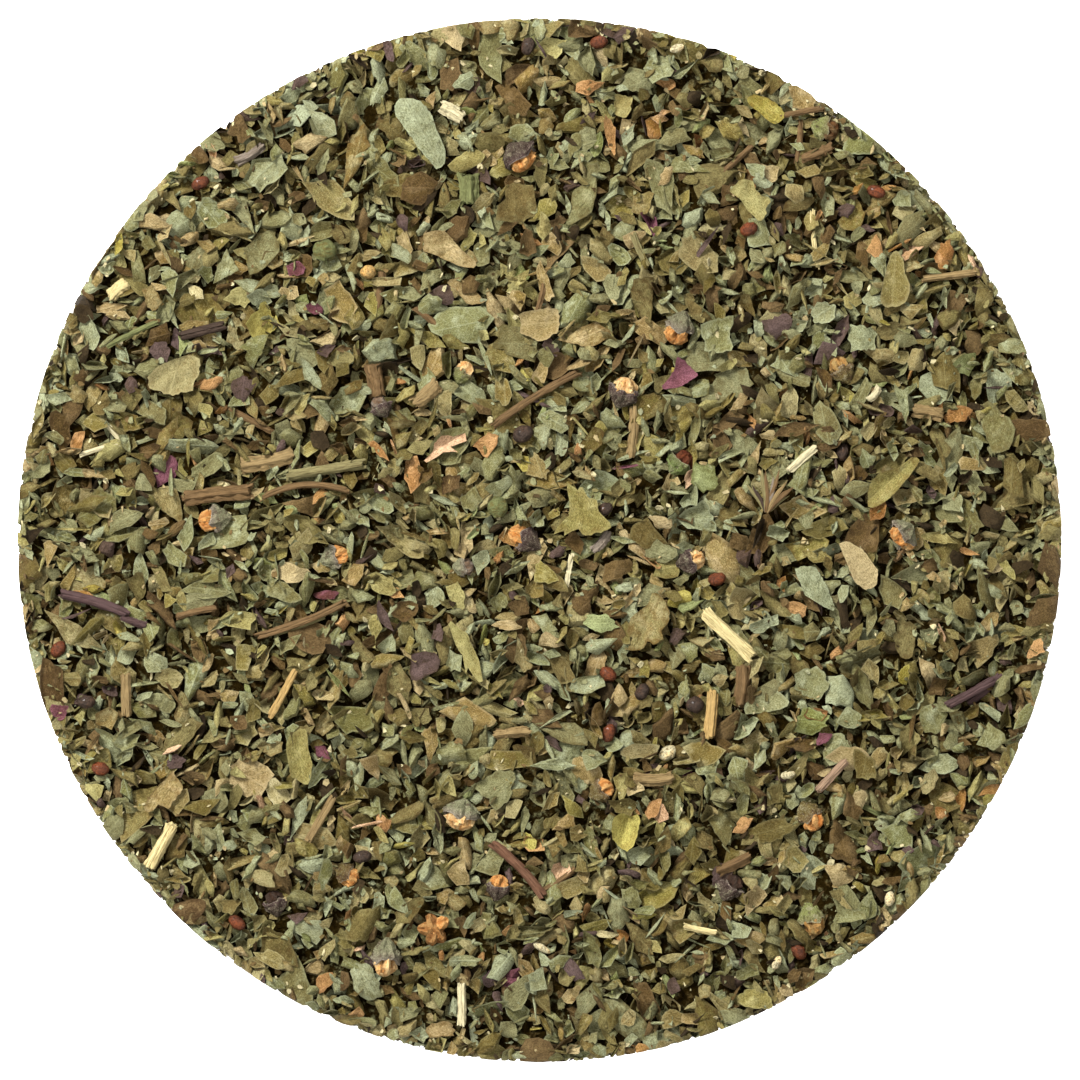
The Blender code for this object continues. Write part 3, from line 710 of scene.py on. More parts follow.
class Made:
    """Gathers points, faces and what the finishes read, and makes one object of them."""

    def __init__(self):
        self.count = 0
        self.points, self.loops, self.sizes, self.tiles = [], [], [], []
        self.values = {"basil_spot": [], "basil_tone": [], "basil_edge": [], "basil_colour": []}

    def add(self, points, faces, tiles, spot, tone, edge, colour=(0.5, 0.5, 0.5)):
        """Adds points with faces of 3 or 4 corners. Tiles give each face corner its place in the bake."""
        size = len(points)
        self.points.append(points)
        for corners, places in zip(faces, tiles):
            self.loops.append((corners + self.count).ravel())
            self.sizes.append(np.full(len(corners), corners.shape[1]))
            self.tiles.append(places.reshape(-1, 2))
        self.values["basil_spot"].append(np.broadcast_to(spot, (size, 3)))
        self.values["basil_tone"].append(np.broadcast_to(tone, (size, 3)))
        self.values["basil_edge"].append(np.broadcast_to(edge, (size,)))
        self.values["basil_colour"].append(np.broadcast_to(np.append(colour, 1.0), (size, 4)))
        self.count += size

    def finish(self, name, material):
        mesh = bpy.data.meshes.new(name)
        points = np.concatenate(self.points) * MM
        loops = np.concatenate(self.loops)
        sizes = np.concatenate(self.sizes)
        mesh.vertices.add(len(points))
        mesh.vertices.foreach_set("co", points.astype(np.float32).ravel())
        mesh.loops.add(len(loops))
        mesh.loops.foreach_set("vertex_index", loops.astype(np.int32))
        mesh.polygons.add(len(sizes))
        mesh.polygons.foreach_set("loop_start", (np.cumsum(sizes) - sizes).astype(np.int32))
        mesh.update(calc_edges=True)
        layer = mesh.uv_layers.new(name="OFBake")
        layer.uv.foreach_set("vector", np.concatenate(self.tiles).astype(np.float32).ravel())
        kinds = {1: ("FLOAT", "value"), 3: ("FLOAT_VECTOR", "vector"), 4: ("FLOAT_COLOR", "color")}
        for title, parts in self.values.items():
            values = np.concatenate(parts).astype(np.float32)
            kind, field = kinds[1 if values.ndim == 1 else values.shape[1]]
            mesh.attributes.new(title, kind, "POINT").data.foreach_set(field, values.ravel())
        mesh.shade_smooth()
        mesh.set_sharp_from_angle(angle=math.radians(SHARP))
        mesh.materials.append(material)
        obj = bpy.data.objects.new(name, mesh)
        bpy.context.scene.collection.objects.link(obj)
        return obj


def flake_faces(points, rings):
    """Faces of one closed flake: front, rim and back, with the front's points before the back's."""
    ring = np.arange(points)
    after = (ring + 1) % points
    back = 1 + rings * points
    fan = np.stack([np.zeros(points, int), 1 + ring, 1 + after], axis=1)
    strips = [
        np.stack([1 + n * points + ring, 1 + (n + 1) * points + ring,
                  1 + (n + 1) * points + after, 1 + n * points + after], axis=1)
        for n in range(rings - 1)
    ]
    last = 1 + (rings - 1) * points
    rim = np.stack([last + ring, back + last + ring, back + last + after, last + after], axis=1)
    quads = np.concatenate(strips) if strips else np.zeros((0, 4), int)
    return fan, quads, rim


class Tiles:
    """Shares out the bake's square: a tile for each flake's front and a smaller one for its back."""

    WIDE = 1.5

    def __init__(self, count):
        self.columns = max(1, math.ceil(math.sqrt(count / self.WIDE)))
        rows = math.ceil(count / self.columns)
        self.unit = min(1.0 / (self.WIDE * self.columns), 1.0 / rows)
        self.used = 0

    def take(self, count):
        """The middles of the next front and back tiles."""
        numbers = np.arange(self.used, self.used + count)
        self.used += count
        column, row = numbers % self.columns, numbers // self.columns
        front = np.stack([column * self.WIDE + 0.5, row + 0.5], axis=1) * self.unit
        back = np.stack([column * self.WIDE + 1.25, row + 0.5], axis=1) * self.unit
        return front, back


def add_flakes(made, tiles, flakes, chosen):
    """Adds the chosen flakes as closed thin sheets."""
    count = len(chosen)
    if not count:
        return
    heap, thickness = flakes.heap, flakes.heap.thickness
    outline = flakes.outline[chosen]
    points = outline.shape[1]
    rings = np.array(flakes.grade.rings)
    turn = np.exp(1j * TAU * np.arange(points) / points)
    unit = (rings[None, :, None] * outline[:, None, :] * turn).reshape(count, -1)
    unit = np.concatenate([np.zeros((count, 1)), unit], axis=1)
    share = np.concatenate([[0.0], np.repeat(rings, points)])[None, :]
    half_length = flakes.half_length[chosen][:, None]
    local = unit.real * half_length + 1j * unit.imag * flakes.half_width[chosen][:, None]
    raised = relief(flakes.bend_of(chosen[:, None]), local, share)
    raised = raised + flakes.height[chosen][:, None] + thickness
    heading = flakes.heading[chosen]
    spots = flakes.spot[chosen]
    front = heap.place(spots[:, None] + heading[:, None] * local, raised)
    slope = flakes.bend.slope[chosen] * heading
    along, across, out = heap.axes(spots)
    normal = out - slope.real[:, None] * along - slope.imag[:, None] * across
    normal /= np.linalg.norm(normal, axis=1, keepdims=True)
    back = front - normal[:, None, :] * thickness
    if not heap.wraps:
        back = heap.kept_in(back)
    back[..., 2] = np.maximum(back[..., 2], 0.0)
    fan, quads, rim = flake_faces(points, len(rings))
    turned_fan, turned_quads = fan[:, ::-1], quads[:, ::-1]
    per_side = unit.shape[1]
    start = (np.arange(count) * 2 * per_side)[:, None, None]
    flat = np.stack([local.real, local.imag], axis=-1)
    flat /= np.abs(flat).reshape(count, -1).max(axis=1)[:, None, None]
    middle_front, middle_back = tiles.take(count)
    on_front = middle_front[:, None, :] + flat * (TILE_FRONT / TILE_RIM) * tiles.unit
    on_rim = middle_front[:, None, :] + flat * TILE_FRONT * tiles.unit
    on_back = middle_back[:, None, :] + flat * TILE_BACK * tiles.unit
    here, there = rim[:, 0], rim[:, 3]
    rim_tiles = np.stack([on_front[:, here], on_rim[:, here], on_rim[:, there], on_front[:, there]], axis=2)
    corners = [fan, quads, rim, turned_fan + per_side, turned_quads + per_side]
    faces = [(part[None] + start).reshape(-1, part.shape[1]) for part in corners]
    places = [on_front[:, fan], on_front[:, quads], rim_tiles]
    places += [on_back[:, turned_fan], on_back[:, turned_quads]]
    seed = np.broadcast_to(flakes.seed[chosen][:, None], local.shape)
    spot = np.stack([local.real, local.imag, seed], axis=-1)
    tone = np.stack([flakes.light[chosen], flakes.patchy[chosen], flakes.veined[chosen]], axis=-1)
    made.add(
        np.stack([front, back], axis=1).reshape(-1, 3),
        faces,
        places,
        np.stack([spot, spot + np.array([0.0, 0.0, 3.7])], axis=1).reshape(-1, 3),
        np.repeat(tone, 2 * per_side, axis=0),
        np.tile(np.broadcast_to(share, (count, per_side))[:, None, :], (1, 2, 1)).ravel(),
    )


class Value:
    """A socket in a material, so that shader maths can be written as Python expressions."""

    def __init__(self, finish, socket):
        self.finish = finish
        self.socket = socket

    def math(self, operation, *others, swapped=False):
        values = [self, *others]
        if swapped:
            values.reverse()
        return self.finish.node("ShaderNodeMath", {"operation": operation}, dict(enumerate(values)))

    def __add__(self, other):
        return self.math("ADD", other)

    __radd__ = __add__

    def __mul__(self, other):
        return self.math("MULTIPLY", other)

    __rmul__ = __mul__

    def __sub__(self, other):
        return self.math("SUBTRACT", other)

    def __rsub__(self, other):
        return self.math("SUBTRACT", other, swapped=True)

    def __abs__(self):
        return self.math("ABSOLUTE")

    def step(self, low, high):
        """Rises smoothly from 0 at low to 1 at high, or falls where low is the higher of the two."""
        values = {"Value": self, "From Min": low, "From Max": high}
        return self.finish.node("ShaderNodeMapRange", {"interpolation_type": "SMOOTHSTEP"}, values)


class Finish:
    """A material and the few ways in which its nodes are made."""

    def __init__(self, name, roughness):
        self.material = bpy.data.materials.new(name)
        self.material.use_nodes = True
        self.tree = self.material.node_tree
        self.shader = self.tree.nodes["Principled BSDF"]
        self.base = None
        self.shader.inputs["Roughness"].default_value = roughness
        self.shader.inputs["Specular IOR Level"].default_value = 0.10

    def node(self, kind, settings, values, output=0):
        """Makes a node, sets it, and fills its sockets with values or with links."""
        made = self.tree.nodes.new(kind)
        for name, setting in settings.items():
            setattr(made, name, setting)
        for name, value in values.items():
            if isinstance(value, Value):
                self.tree.links.new(value.socket, made.inputs[name])
            else:
                made.inputs[name].default_value = value
        return Value(self, made.outputs[output])

    def attribute(self, name, output="Vector"):
        return self.node("ShaderNodeAttribute", {"attribute_name": name}, {}, output)

    def parts(self, vector):
        made = self.node("ShaderNodeSeparateXYZ", {}, {0: vector})
        return [Value(self, socket) for socket in made.socket.node.outputs]

    def noise(self, spot, scale, detail=3.0, roughness=0.6):
        """Noise over a spot, with one scale for every way or one for each."""
        if isinstance(scale, tuple):
            spot = self.node("ShaderNodeVectorMath", {"operation": "MULTIPLY"}, {0: spot, 1: scale})
            scale = 1.0
        values = {"Vector": spot, "Scale": scale, "Detail": detail, "Roughness": roughness}
        return self.node("ShaderNodeTexNoise", {}, values)

    def mix(self, share, first, second, blend="MIX"):
        """Mixes two colours."""
        values = {0: share}
        for place, value in ((6, first), (7, second)):
            values[place] = value if isinstance(value, Value) else (*value[:3], 1.0)
        return self.node("ShaderNodeMix", {"data_type": "RGBA", "blend_type": blend}, values, output=2)

    def tint(self, tone, factors):
        return self.mix(1.0, tone, factors, "MULTIPLY")

    def paint(self, share, tone):
        """Lays a tone over what is painted so far."""
        self.base = self.mix(share, self.base, tone)

    def done(self, height, strength, distance):
        """Gives the shader what is painted, with a bump, and returns the material."""
        self.tree.links.new(self.base.socket, self.shader.inputs["Base Color"])
        values = {"Height": height, "Strength": strength, "Distance": distance}
        bump = self.node("ShaderNodeBump", {}, values)
        self.tree.links.new(bump.socket, self.shader.inputs["Normal"])
        return self.material


def darker(tone, share):
    return tuple(channel * share for channel in tone)


def shaded(tone, share):
    """A darker and warmer tone of the same leaf."""
    red, green, blue = tone
    return (red * share, green * share * 0.90, blue * share * 0.42)


def lighter(tone, share):
    return tuple(channel * (1.0 + 1.5 * share) + 0.34 * share * max(tone) for channel in tone)


@functools.cache
def leaf_finish(name):
    """Dried leaf: mottled and speckled, with patches, raised veins on some flakes and a painted highlight
    along the cut edge.
    """
    kind = KINDS[KIND_NAMES.index(name)]
    colours = bpy.context.scene.basil_leaf_colours
    tone, patch = tuple(getattr(colours, name)), tuple(getattr(colours, f"{name}_patch"))
    finish = Finish(f"dried_leaf_{name}", 0.78)
    spot = finish.attribute("basil_spot")
    light, patchy, veined = finish.parts(finish.attribute("basil_tone"))
    edge = finish.attribute("basil_edge", "Fac")
    along, across, seed = finish.parts(spot)
    finish.base = finish.mix(light, shaded(tone, 0.63), lighter(tone, 0.13))
    hue = (seed * HUE_STEP).math("FRACT")
    finish.paint(hue * hue * 0.6, patch)
    mottle = finish.noise(spot, (0.8, 0.8, 1.0))
    finish.paint(mottle.step(0.46, 0.62) * patchy * kind.patchy, patch)
    drift = finish.noise(spot, (0.55, 0.55, 1.0))
    finish.paint(drift.step(0.52, 0.30) * (patchy * 0.45 + 0.35), shaded(patch, 0.50))
    finish.paint(drift.step(0.50, 0.70) * 0.55, lighter(tone, 0.36))
    speck = finish.noise(spot, (4.6, 8.6, 1.0), roughness=0.85)
    finish.paint(speck.step(0.53, 0.34) * 0.80, shaded(tone, 0.26))
    finish.paint(speck.step(0.53, 0.68) * 0.50, lighter(tone, 0.55))
    herring = (abs(across) * 0.75 + along * 1.0) * 0.95
    side_vein = abs(herring.math("FRACT") - 0.5).step(0.44, 0.49)
    middle_vein = abs(across).step(0.13, 0.04)
    vein = side_vein.math("MAXIMUM", middle_vein) * veined * kind.veined
    finish.paint(vein, lighter(tone, 0.30))
    worn = (edge + mottle * 0.8).step(1.05, 1.45) * patchy
    finish.paint(worn * 0.7, shaded(patch, 0.45))
    # Painted highlight: the cut edge is painted lighter, as if it caught the light.
    rim = edge.step(0.80, 1.0) * (1.0 - worn)
    finish.paint(rim * 0.42, lighter(tone, 0.26))
    return finish.done(speck * 0.8 + vein * 0.6 + mottle * 1.5 + drift * 1.6, 0.90, 0.00045)


@functools.cache
def crumb_finish():
    """Crumbs and dust of every kind of leaf: each crumb takes one of the tones."""
    colours = bpy.context.scene.basil_leaf_colours
    finish = Finish("dried_leaf_crumbs", 0.85)
    spot = finish.attribute("basil_spot")
    light, patchy, _ = finish.parts(finish.attribute("basil_tone"))
    names = ("dark", "brown", "olive", "moss", "sage", "tan", "cream")
    stops = [tuple(getattr(colours, name)) for name in names]
    finish.base = stops[0]
    for number, stop in enumerate(stops[1:], 1):
        finish.paint(light.step((number - 0.6) / len(stops), (number - 0.4) / len(stops)), stop)
    finish.paint(patchy * 0.45, darker(stops[1], 0.5))
    speck = finish.noise(spot, 3.2, 2.0, 0.7)
    finish.paint(speck.step(0.50, 0.36) * 0.5, stops[0])
    return finish.done(speck, 0.5, 0.0002)


@functools.cache
def dust_and_gap_shade_finish():
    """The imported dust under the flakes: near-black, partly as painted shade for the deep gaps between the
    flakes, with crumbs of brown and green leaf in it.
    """
    leaf = bpy.context.scene.basil_leaf_colours
    dust = tuple(bpy.context.scene.basil_dry_colours.dust)
    finish = Finish("packed_dust", 0.95)
    finish.shader.inputs["Specular IOR Level"].default_value = 0.0
    spot = finish.attribute("basil_spot")
    blots = finish.noise(spot, 1.0, roughness=0.65)
    pick = finish.noise(spot, 0.5, 2.0, 0.5)
    crumb = finish.mix(pick.step(0.40, 0.60), tuple(leaf.brown), tuple(leaf.moss))
    lumps = finish.noise(spot, 1.9, 4.0, 0.7)
    finish.base = finish.mix(blots.step(0.48, 0.66) * 0.62, dust, crumb)
    finish.paint(lumps.step(0.56, 0.38) * 0.8, darker(dust, 0.6))
    return finish.done(lumps + blots, 0.9, 0.0009)


@functools.cache
def fibre_finish():
    """Broken stem: long fibres of differing tone, darker furrows and pale torn ends."""
    finish = Finish("dried_stem_fibre", 0.7)
    spot = finish.attribute("basil_spot")
    light, furrowed, _ = finish.parts(finish.attribute("basil_tone"))
    edge = finish.attribute("basil_edge", "Fac")
    tone = finish.attribute("basil_colour", "Color")
    fibres = finish.noise(spot, (0.7, 7.0, 1.0), roughness=0.65)
    streaks = finish.noise(spot, (0.35, 2.6, 1.0), 2.0, 0.5)
    stain = finish.noise(spot, (0.5, 0.8, 1.0))
    bright = finish.tint(tone, (1.35, 1.32, 1.30))
    shade = finish.tint(tone, (0.36, 0.27, 0.18))
    drab = finish.tint(tone, (0.68, 0.66, 0.60))
    finish.base = finish.mix(streaks.step(0.42, 0.64) * 0.60, tone, bright)
    finish.paint(stain.step(0.50, 0.66) * 0.65, drab)
    finish.paint(fibres.step(0.52, 0.33) * (furrowed * 0.5 + 0.35), shade)
    finish.paint((1.0 - light) * 0.30, shade)
    finish.paint(edge.step(0.90, 1.0) * 0.4, bright)
    return finish.done(fibres + streaks * 0.4 + stain * 0.5, 0.7, 0.0003)


@functools.cache
def husk_finish():
    """The skin of flower cups and buds: net-veined, rough, with tiny pale hairs and glands, and painted shade
    in the folds of buds and corollas.
    """
    finish = Finish("dried_cup_husk", 0.8)
    spot = finish.attribute("basil_spot")
    light, rough, _ = finish.parts(finish.attribute("basil_tone"))
    edge = finish.attribute("basil_edge", "Fac")
    tone = finish.attribute("basil_colour", "Color")
    shade = finish.tint(tone, (0.34, 0.27, 0.20))
    wrinkle = finish.noise(spot, (1.4, 1.4, 1.4))
    crease = finish.noise(spot, (0.6, 2.4, 2.4))
    warm = finish.tint(tone, (0.84, 0.60, 0.40))
    green = finish.tint(tone, (0.98, 1.22, 0.84))
    finish.base = finish.mix((1.0 - edge) * rough, tone, green)
    finish.paint(crease.step(0.54, 0.38) * (1.0 - rough) * 0.8, warm)
    # Painted shade: on buds and corollas the edge value holds their folds, which are painted darker as the
    # shade that falls in them.
    finish.paint(edge * (1.0 - rough), finish.tint(warm, (0.55, 0.42, 0.30)))
    finish.paint(wrinkle.step(0.48, 0.34) * (rough * 0.6 + 0.25), shade)
    finish.paint(wrinkle.step(0.54, 0.68) * rough * 0.5, (0.20, 0.18, 0.11))
    speck = finish.noise(spot, (8.0, 8.0, 8.0), roughness=0.7)
    finish.paint(speck.step(0.52, 0.36) * 0.55, shade)
    finish.paint(speck.step(0.54, 0.70) * rough * 0.6, (0.30, 0.27, 0.19))
    finish.paint((1.0 - light) * 0.45, shade)
    finish.paint(edge.step(0.85, 1.0) * 0.12, (0.62, 0.54, 0.40))
    return finish.done(speck * 0.4 + wrinkle * 1.2 + crease * 0.8, 0.9, 0.0005)


@functools.cache
def seed_finish():
    """The coat of a seed: dull brown and finely pitted, with a slight shine on its round back."""
    finish = Finish("seed_coat", 0.55)
    spot = finish.attribute("basil_spot")
    tone = finish.attribute("basil_colour", "Color")
    shade = finish.tint(tone, (0.26, 0.20, 0.14))
    bright = finish.tint(tone, (1.5, 1.25, 1.0))
    cloud = finish.noise(spot, 0.9)
    pits = finish.noise(spot, 4.5, roughness=0.7)
    finish.base = finish.mix(cloud.step(0.46, 0.68), tone, bright)
    finish.paint(cloud.step(0.48, 0.32) * 0.8, shade)
    finish.paint(pits.step(0.54, 0.38) * 0.8, shade)
    finish.shader.inputs["Coat Weight"].default_value = 0.05
    return finish.done(pits + cloud, 0.8, 0.0003)


@functools.cache
def floor_finish():
    """A plain pale floor that stays white under the lights."""
    stage = bpy.context.scene.basil_stage
    finish = Finish("pale_floor", 0.9)
    finish.shader.inputs["Base Color"].default_value = (*stage.floor, 1.0)
    finish.shader.inputs["Emission Color"].default_value = (1.0, 1.0, 1.0, 1.0)
    finish.shader.inputs["Emission Strength"].default_value = stage.floor_glow
    return finish.material


# Corners of the larger leaf pieces, in mm from the middle of their solids, as the photograph shows them
CORNERS = {
    "leaf_star": (
        (-2.2, 3.7), (-0.5, 3.6), (-0.6, 2.4), (0.4, 1.7), (1.6, 1.3), (1.8, -0.1), (3.6, -1.9),
        (2.0, -2.7), (0.0, -3.2), (-0.8, -2.2), (-2.0, -2.2), (-3.0, -3.4), (-3.9, -3.2), (-3.1, -1.7),
        (-1.9, -0.7), (-1.8, 0.9), (-2.1, 2.5),
    ),
    "leaf_sage_long": (
        (-3.3, 2.6), (-3.0, 3.6), (-2.1, 4.0), (-0.6, 3.8), (0.3, 3.2), (1.4, 1.8), (2.0, -0.1),
        (2.9, -2.1), (3.2, -4.0), (2.8, -4.9), (2.3, -4.5), (1.9, -5.0), (1.2, -4.1), (-0.2, -2.5),
        (-1.0, -1.2), (-1.5, -0.6), (-2.1, 0.3), (-3.1, 1.6),
    ),
    "leaf_pink_tan": (
        (-2.8, 2.7), (-1.5, 2.9), (0.2, 2.0), (1.0, 0.9), (2.1, -0.6), (2.1, -2.4), (1.3, -3.0),
        (0.5, -3.2), (-0.8, -2.0), (-1.3, -0.8), (-2.1, 1.2),
    ),
    "leaf_sage_curled": (
        (-1.9, 2.7), (-0.6, 3.3), (1.0, 3.0), (1.7, 1.8), (2.3, 0.5), (3.1, -1.4), (3.4, -2.4),
        (2.4, -2.2), (0.8, -1.2), (-0.5, -0.4), (-1.2, 1.4),
    ),
    "leaf_olive_ragged": (
        (0.5, 3.5), (1.6, 3.2), (2.1, 2.4), (2.8, 1.1), (2.6, -0.2), (1.6, -1.2), (2.0, -2.2), (0.7, -3.0),
        (0.0, -2.5), (-0.6, -3.5), (-1.9, -3.8), (-2.6, -3.3), (-1.9, -2.2), (-2.6, -1.4), (-2.2, 0.4),
        (-1.3, 1.1), (0.0, 2.0),
    ),
    "leaf_tan_left": (
        (-3.5, -0.8), (-2.7, 0.3), (-1.6, 0.9), (-0.6, 1.3), (0.5, 1.7), (1.7, 2.0), (3.1, 1.4),
        (2.8, -0.4), (2.1, -1.9), (2.0, -2.6), (0.6, -2.7), (0.2, -3.0), (-1.1, -3.0), (-2.0, -2.6),
        (-3.1, -2.3), (-3.5, -1.8),
    ),
    "leaf_tan_top": (
        (-3.4, 2.2), (-2.4, 2.3), (-0.8, 2.4), (0.2, 1.4), (1.2, 0.2), (2.4, -0.8), (3.5, -1.7),
        (2.9, -2.2), (1.3, -2.1), (-0.8, -1.2), (-2.1, -0.5), (-3.3, -0.2),
    ),
    "leaf_tan_notched": (
        (-2.3, 1.0), (-0.8, 2.4), (0.8, 2.3), (1.0, 1.2), (1.9, 0.3), (2.9, 0.2), (3.0, -0.5), (2.2, -1.1),
        (2.5, -1.7), (2.0, -2.6), (1.1, -2.7), (0.7, -2.0), (0.0, -1.4), (-0.8, -0.1),
    ),
    "leaf_tan_square": (
        (-2.5, 1.1), (-1.2, 1.6), (0.7, 1.8), (2.5, 1.8), (2.6, 0.3), (2.5, -1.3), (1.7, -1.3),
        (1.1, -2.1), (-0.1, -2.2), (-1.2, -1.6), (-2.3, -1.3), (-2.2, 0.0),
    ),
    "leaf_tan_toothed": (
        (1.3, 2.3), (1.6, 1.2), (2.6, 0.0), (2.1, -1.0), (1.3, -1.9), (0.7, -2.9), (0.0, -2.4),
        (-0.6, -2.3), (-1.3, -3.2), (-2.0, -3.1), (-2.4, -2.4), (-1.4, -0.9), (-0.6, 0.1), (0.4, 1.0),
        (1.0, 1.8),
    ),
    "leaf_grey_brown": (
        (-0.5, 2.7), (0.4, 3.5), (1.1, 2.4), (1.4, 0.4), (2.0, -0.9), (1.7, -2.8), (0.4, -3.7),
        (-1.2, -3.7), (-1.8, -3.1), (-1.5, -1.2), (-1.0, 0.8),
    ),
    "leaf_folded": (
        (-3.1, -2.3), (-2.9, -0.9), (-1.9, 0.6), (-0.5, 1.1), (0.8, 1.4), (2.3, 2.7), (3.2, 2.8),
        (3.3, 2.0), (2.1, 0.4), (0.8, -1.2), (-0.5, -2.5), (-2.1, -3.5), (-3.0, -3.3),
    ),
    "leaf_yellow_olive": (
        (-1.5, 2.4), (0.0, 3.4), (0.9, 3.3), (1.0, 0.9), (1.5, -1.0), (1.2, -3.4), (0.5, -3.5),
        (-1.2, -2.6), (-1.5, -0.7), (-1.8, 0.9),
    ),
    "leaf_twisted": (
        (-2.4, 4.0), (-1.2, 2.9), (0.3, 1.8), (0.6, 0.8), (1.1, -0.2), (1.7, -1.5), (2.1, -3.9),
        (1.5, -4.3), (0.2, -4.1), (0.3, -2.4), (-0.4, -0.8), (-0.9, -0.2), (-1.4, 0.8), (-1.9, 2.4),
    ),
    "leaf_yellow_curled": (
        (-1.7, 0.5), (-1.4, 1.8), (-0.3, 2.3), (0.7, 1.9), (1.6, 2.1), (1.9, 1.3), (1.6, -0.2),
        (1.1, -1.8), (0.3, -2.5), (-0.8, -1.9), (-1.6, -0.8),
    ),
    "leaf_yellow_flat": (
        (-2.3, 1.6), (-1.3, 2.2), (-0.1, 1.9), (1.4, 1.1), (2.4, 0.0), (2.3, -0.9), (1.4, -1.6),
        (0.5, -1.2), (-0.8, 0.0), (-1.9, 0.8),
    ),
    "leaf_purple": (
        (-1.5, 1.4), (0.1, 1.7), (1.4, 1.5), (2.1, 0.5), (1.7, -0.7), (0.6, -1.2), (-0.5, -1.8),
        (-1.5, -2.0), (-1.8, -0.7),
    ),
    "petal_peach": (
        (-2.8, -2.0), (-1.6, -1.1), (-1.4, 0.1), (-0.5, 1.1), (0.5, 1.1), (1.0, 0.9), (2.4, 1.5),
        (2.6, 0.4), (1.9, -1.0), (0.8, -0.9), (0.6, -0.3), (-0.3, -1.0), (-1.4, -1.8), (-2.4, -2.3),
    ),
    "petal_magenta": (
        (-0.6, 2.6), (0.3, 2.1), (2.2, 0.2), (0.0, -1.2), (-2.1, -1.6), (-2.6, -1.3), (-1.7, -0.4),
        (-0.8, 0.9),
    ),
}


class LeafPiece(NamedTuple):
    """A larger leaf piece in place of its solid.

    The crease runs along the heading. Fold and curl are how far the edges stand up, in mm, and the
    tone goes from dark to light.
    """

    node: str
    kind: str
    heading: float
    fold: float
    curl: float
    light: float
    patchy: float
    veined: float


LEAF_PIECES = [LeafPiece(*row) for row in (
    ("leaf_star", "straw_green", 100, 0.2, 0.6, 0.30, 0.5, 0.0),
    ("leaf_sage_long", "sage", -62, -0.5, -0.6, 0.80, 0.1, 0.8),
    ("leaf_pink_tan", "tan", -58, 0.6, -0.4, 0.95, 0.1, 0.4),
    ("leaf_sage_curled", "sage", -52, -1.1, -0.9, 0.75, 0.1, 0.5),
    ("leaf_olive_ragged", "khaki", 68, 0.3, 0.5, 0.40, 1.0, 0.5),
    ("leaf_tan_left", "khaki", 75, 0.2, 0.4, 0.80, 0.3, 0.8),
    ("leaf_tan_top", "tan", -38, 0.4, 0.3, 0.65, 0.6, 0.3),
    ("leaf_tan_notched", "straw_green", -50, -0.2, 0.3, 0.95, 0.5, 0.0),
    ("leaf_tan_square", "tan", 5, 0.4, 0.3, 0.45, 0.2, 0.6),
    ("leaf_tan_toothed", "tan", 62, 0.2, 0.4, 0.35, 0.8, 0.4),
    ("leaf_grey_brown", "khaki", 86, 0.5, -0.4, 0.15, 0.2, 0.7),
    ("leaf_folded", "straw_green", 42, 0.8, 0.4, 0.35, 0.8, 0.4),
    ("leaf_yellow_olive", "straw_green", 98, 0.5, 0.4, 0.40, 0.5, 0.5),
    ("leaf_twisted", "straw_green", -62, -0.8, 0.7, 0.70, 0.4, 0.2),
    ("leaf_yellow_curled", "yellow", 75, 1.1, 0.9, 1.00, 0.5, 0.2),
    ("leaf_yellow_flat", "yellow", -38, -0.4, 0.2, 0.30, 0.8, 0.5),
    ("leaf_purple", "purple", 30, 0.5, 0.7, 0.80, 1.0, 0.5),
    ("petal_peach", "peach", 30, 0.9, 0.6, 0.95, 0.3, 0.3),
    ("petal_magenta", "magenta", 25, 0.4, 0.4, 0.75, 0.3, 0.6),
)]
FINE = Grade("fine", (1.0, 2.0), (0.5, 0.9), 52, (0.18, 0.36, 0.54, 0.72, 0.88, 1.0), 0.1, 0.1)


def node_points(node):
    """The points of a CAD node, in mm."""
    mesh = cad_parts[node].data
    points = np.empty(len(mesh.vertices) * 3)
    mesh.vertices.foreach_get("co", points)
    return points.reshape(-1, 3) / MM


class Stand(NamedTuple):
    """Where a piece lies: its middle and half its size along a heading, and its lowest and highest point."""

    spot: complex
    heading: complex
    half_length: float
    half_width: float
    low: float
    high: float

    @property
    def rise(self):
        """Half its height."""
        return 0.5 * (self.high - self.low)

    @property
    def middle_height(self):
        return 0.5 * (self.low + self.high)

    @property
    def middle(self):
        return np.array([self.spot.real, self.spot.imag, self.middle_height])

    @property
    def axes(self):
        """The ways along it, across it and up."""
        way = self.heading
        return np.array([(way.real, way.imag, 0.0), (-way.imag, way.real, 0.0), (0.0, 0.0, 1.0)])


def stand_on(heap, row):
    """Where a loose piece lies on the heap."""
    spot = to_photo(row.pixel_x, row.pixel_y)
    heading = complex(facing(row.heading))
    surface = float(heap.surface(np.array(spot)))
    low = surface + heap.rest_height(spot, 0.5 * row.width + 0.4) - 0.30 * row.width
    thick = min(row.width, 2.2)
    high = min(low + thick, surface + 0.9)
    return Stand(spot, heading, 0.5 * row.length, 0.5 * row.width, high - thick, high)


def stand_of(node, heading):
    """Where a solid lies."""
    points = node_points(node)
    turn = facing(heading)
    local = (points[:, 0] + 1j * points[:, 1]) * np.conj(turn)
    middle = complex(local.real.min() + local.real.max(), local.imag.min() + local.imag.max()) / 2.0
    return Stand(
        spot=complex(middle * turn),
        heading=complex(turn),
        half_length=float(np.ptp(local.real)) / 2.0,
        half_width=float(np.ptp(local.imag)) / 2.0,
        low=float(points[:, 2].min()),
        high=float(points[:, 2].max()),
    )


def reach_of_corners(corners, turned, points):
    """How far a shape given by its corners reaches in each of the evenly spread directions."""
    corners = np.array([complex(*corner) for corner in corners]) * turned
    at = (np.angle(corners) / TAU * points) % points
    order = np.argsort(at)
    return straight_edges(at[order], np.abs(corners)[order], points)


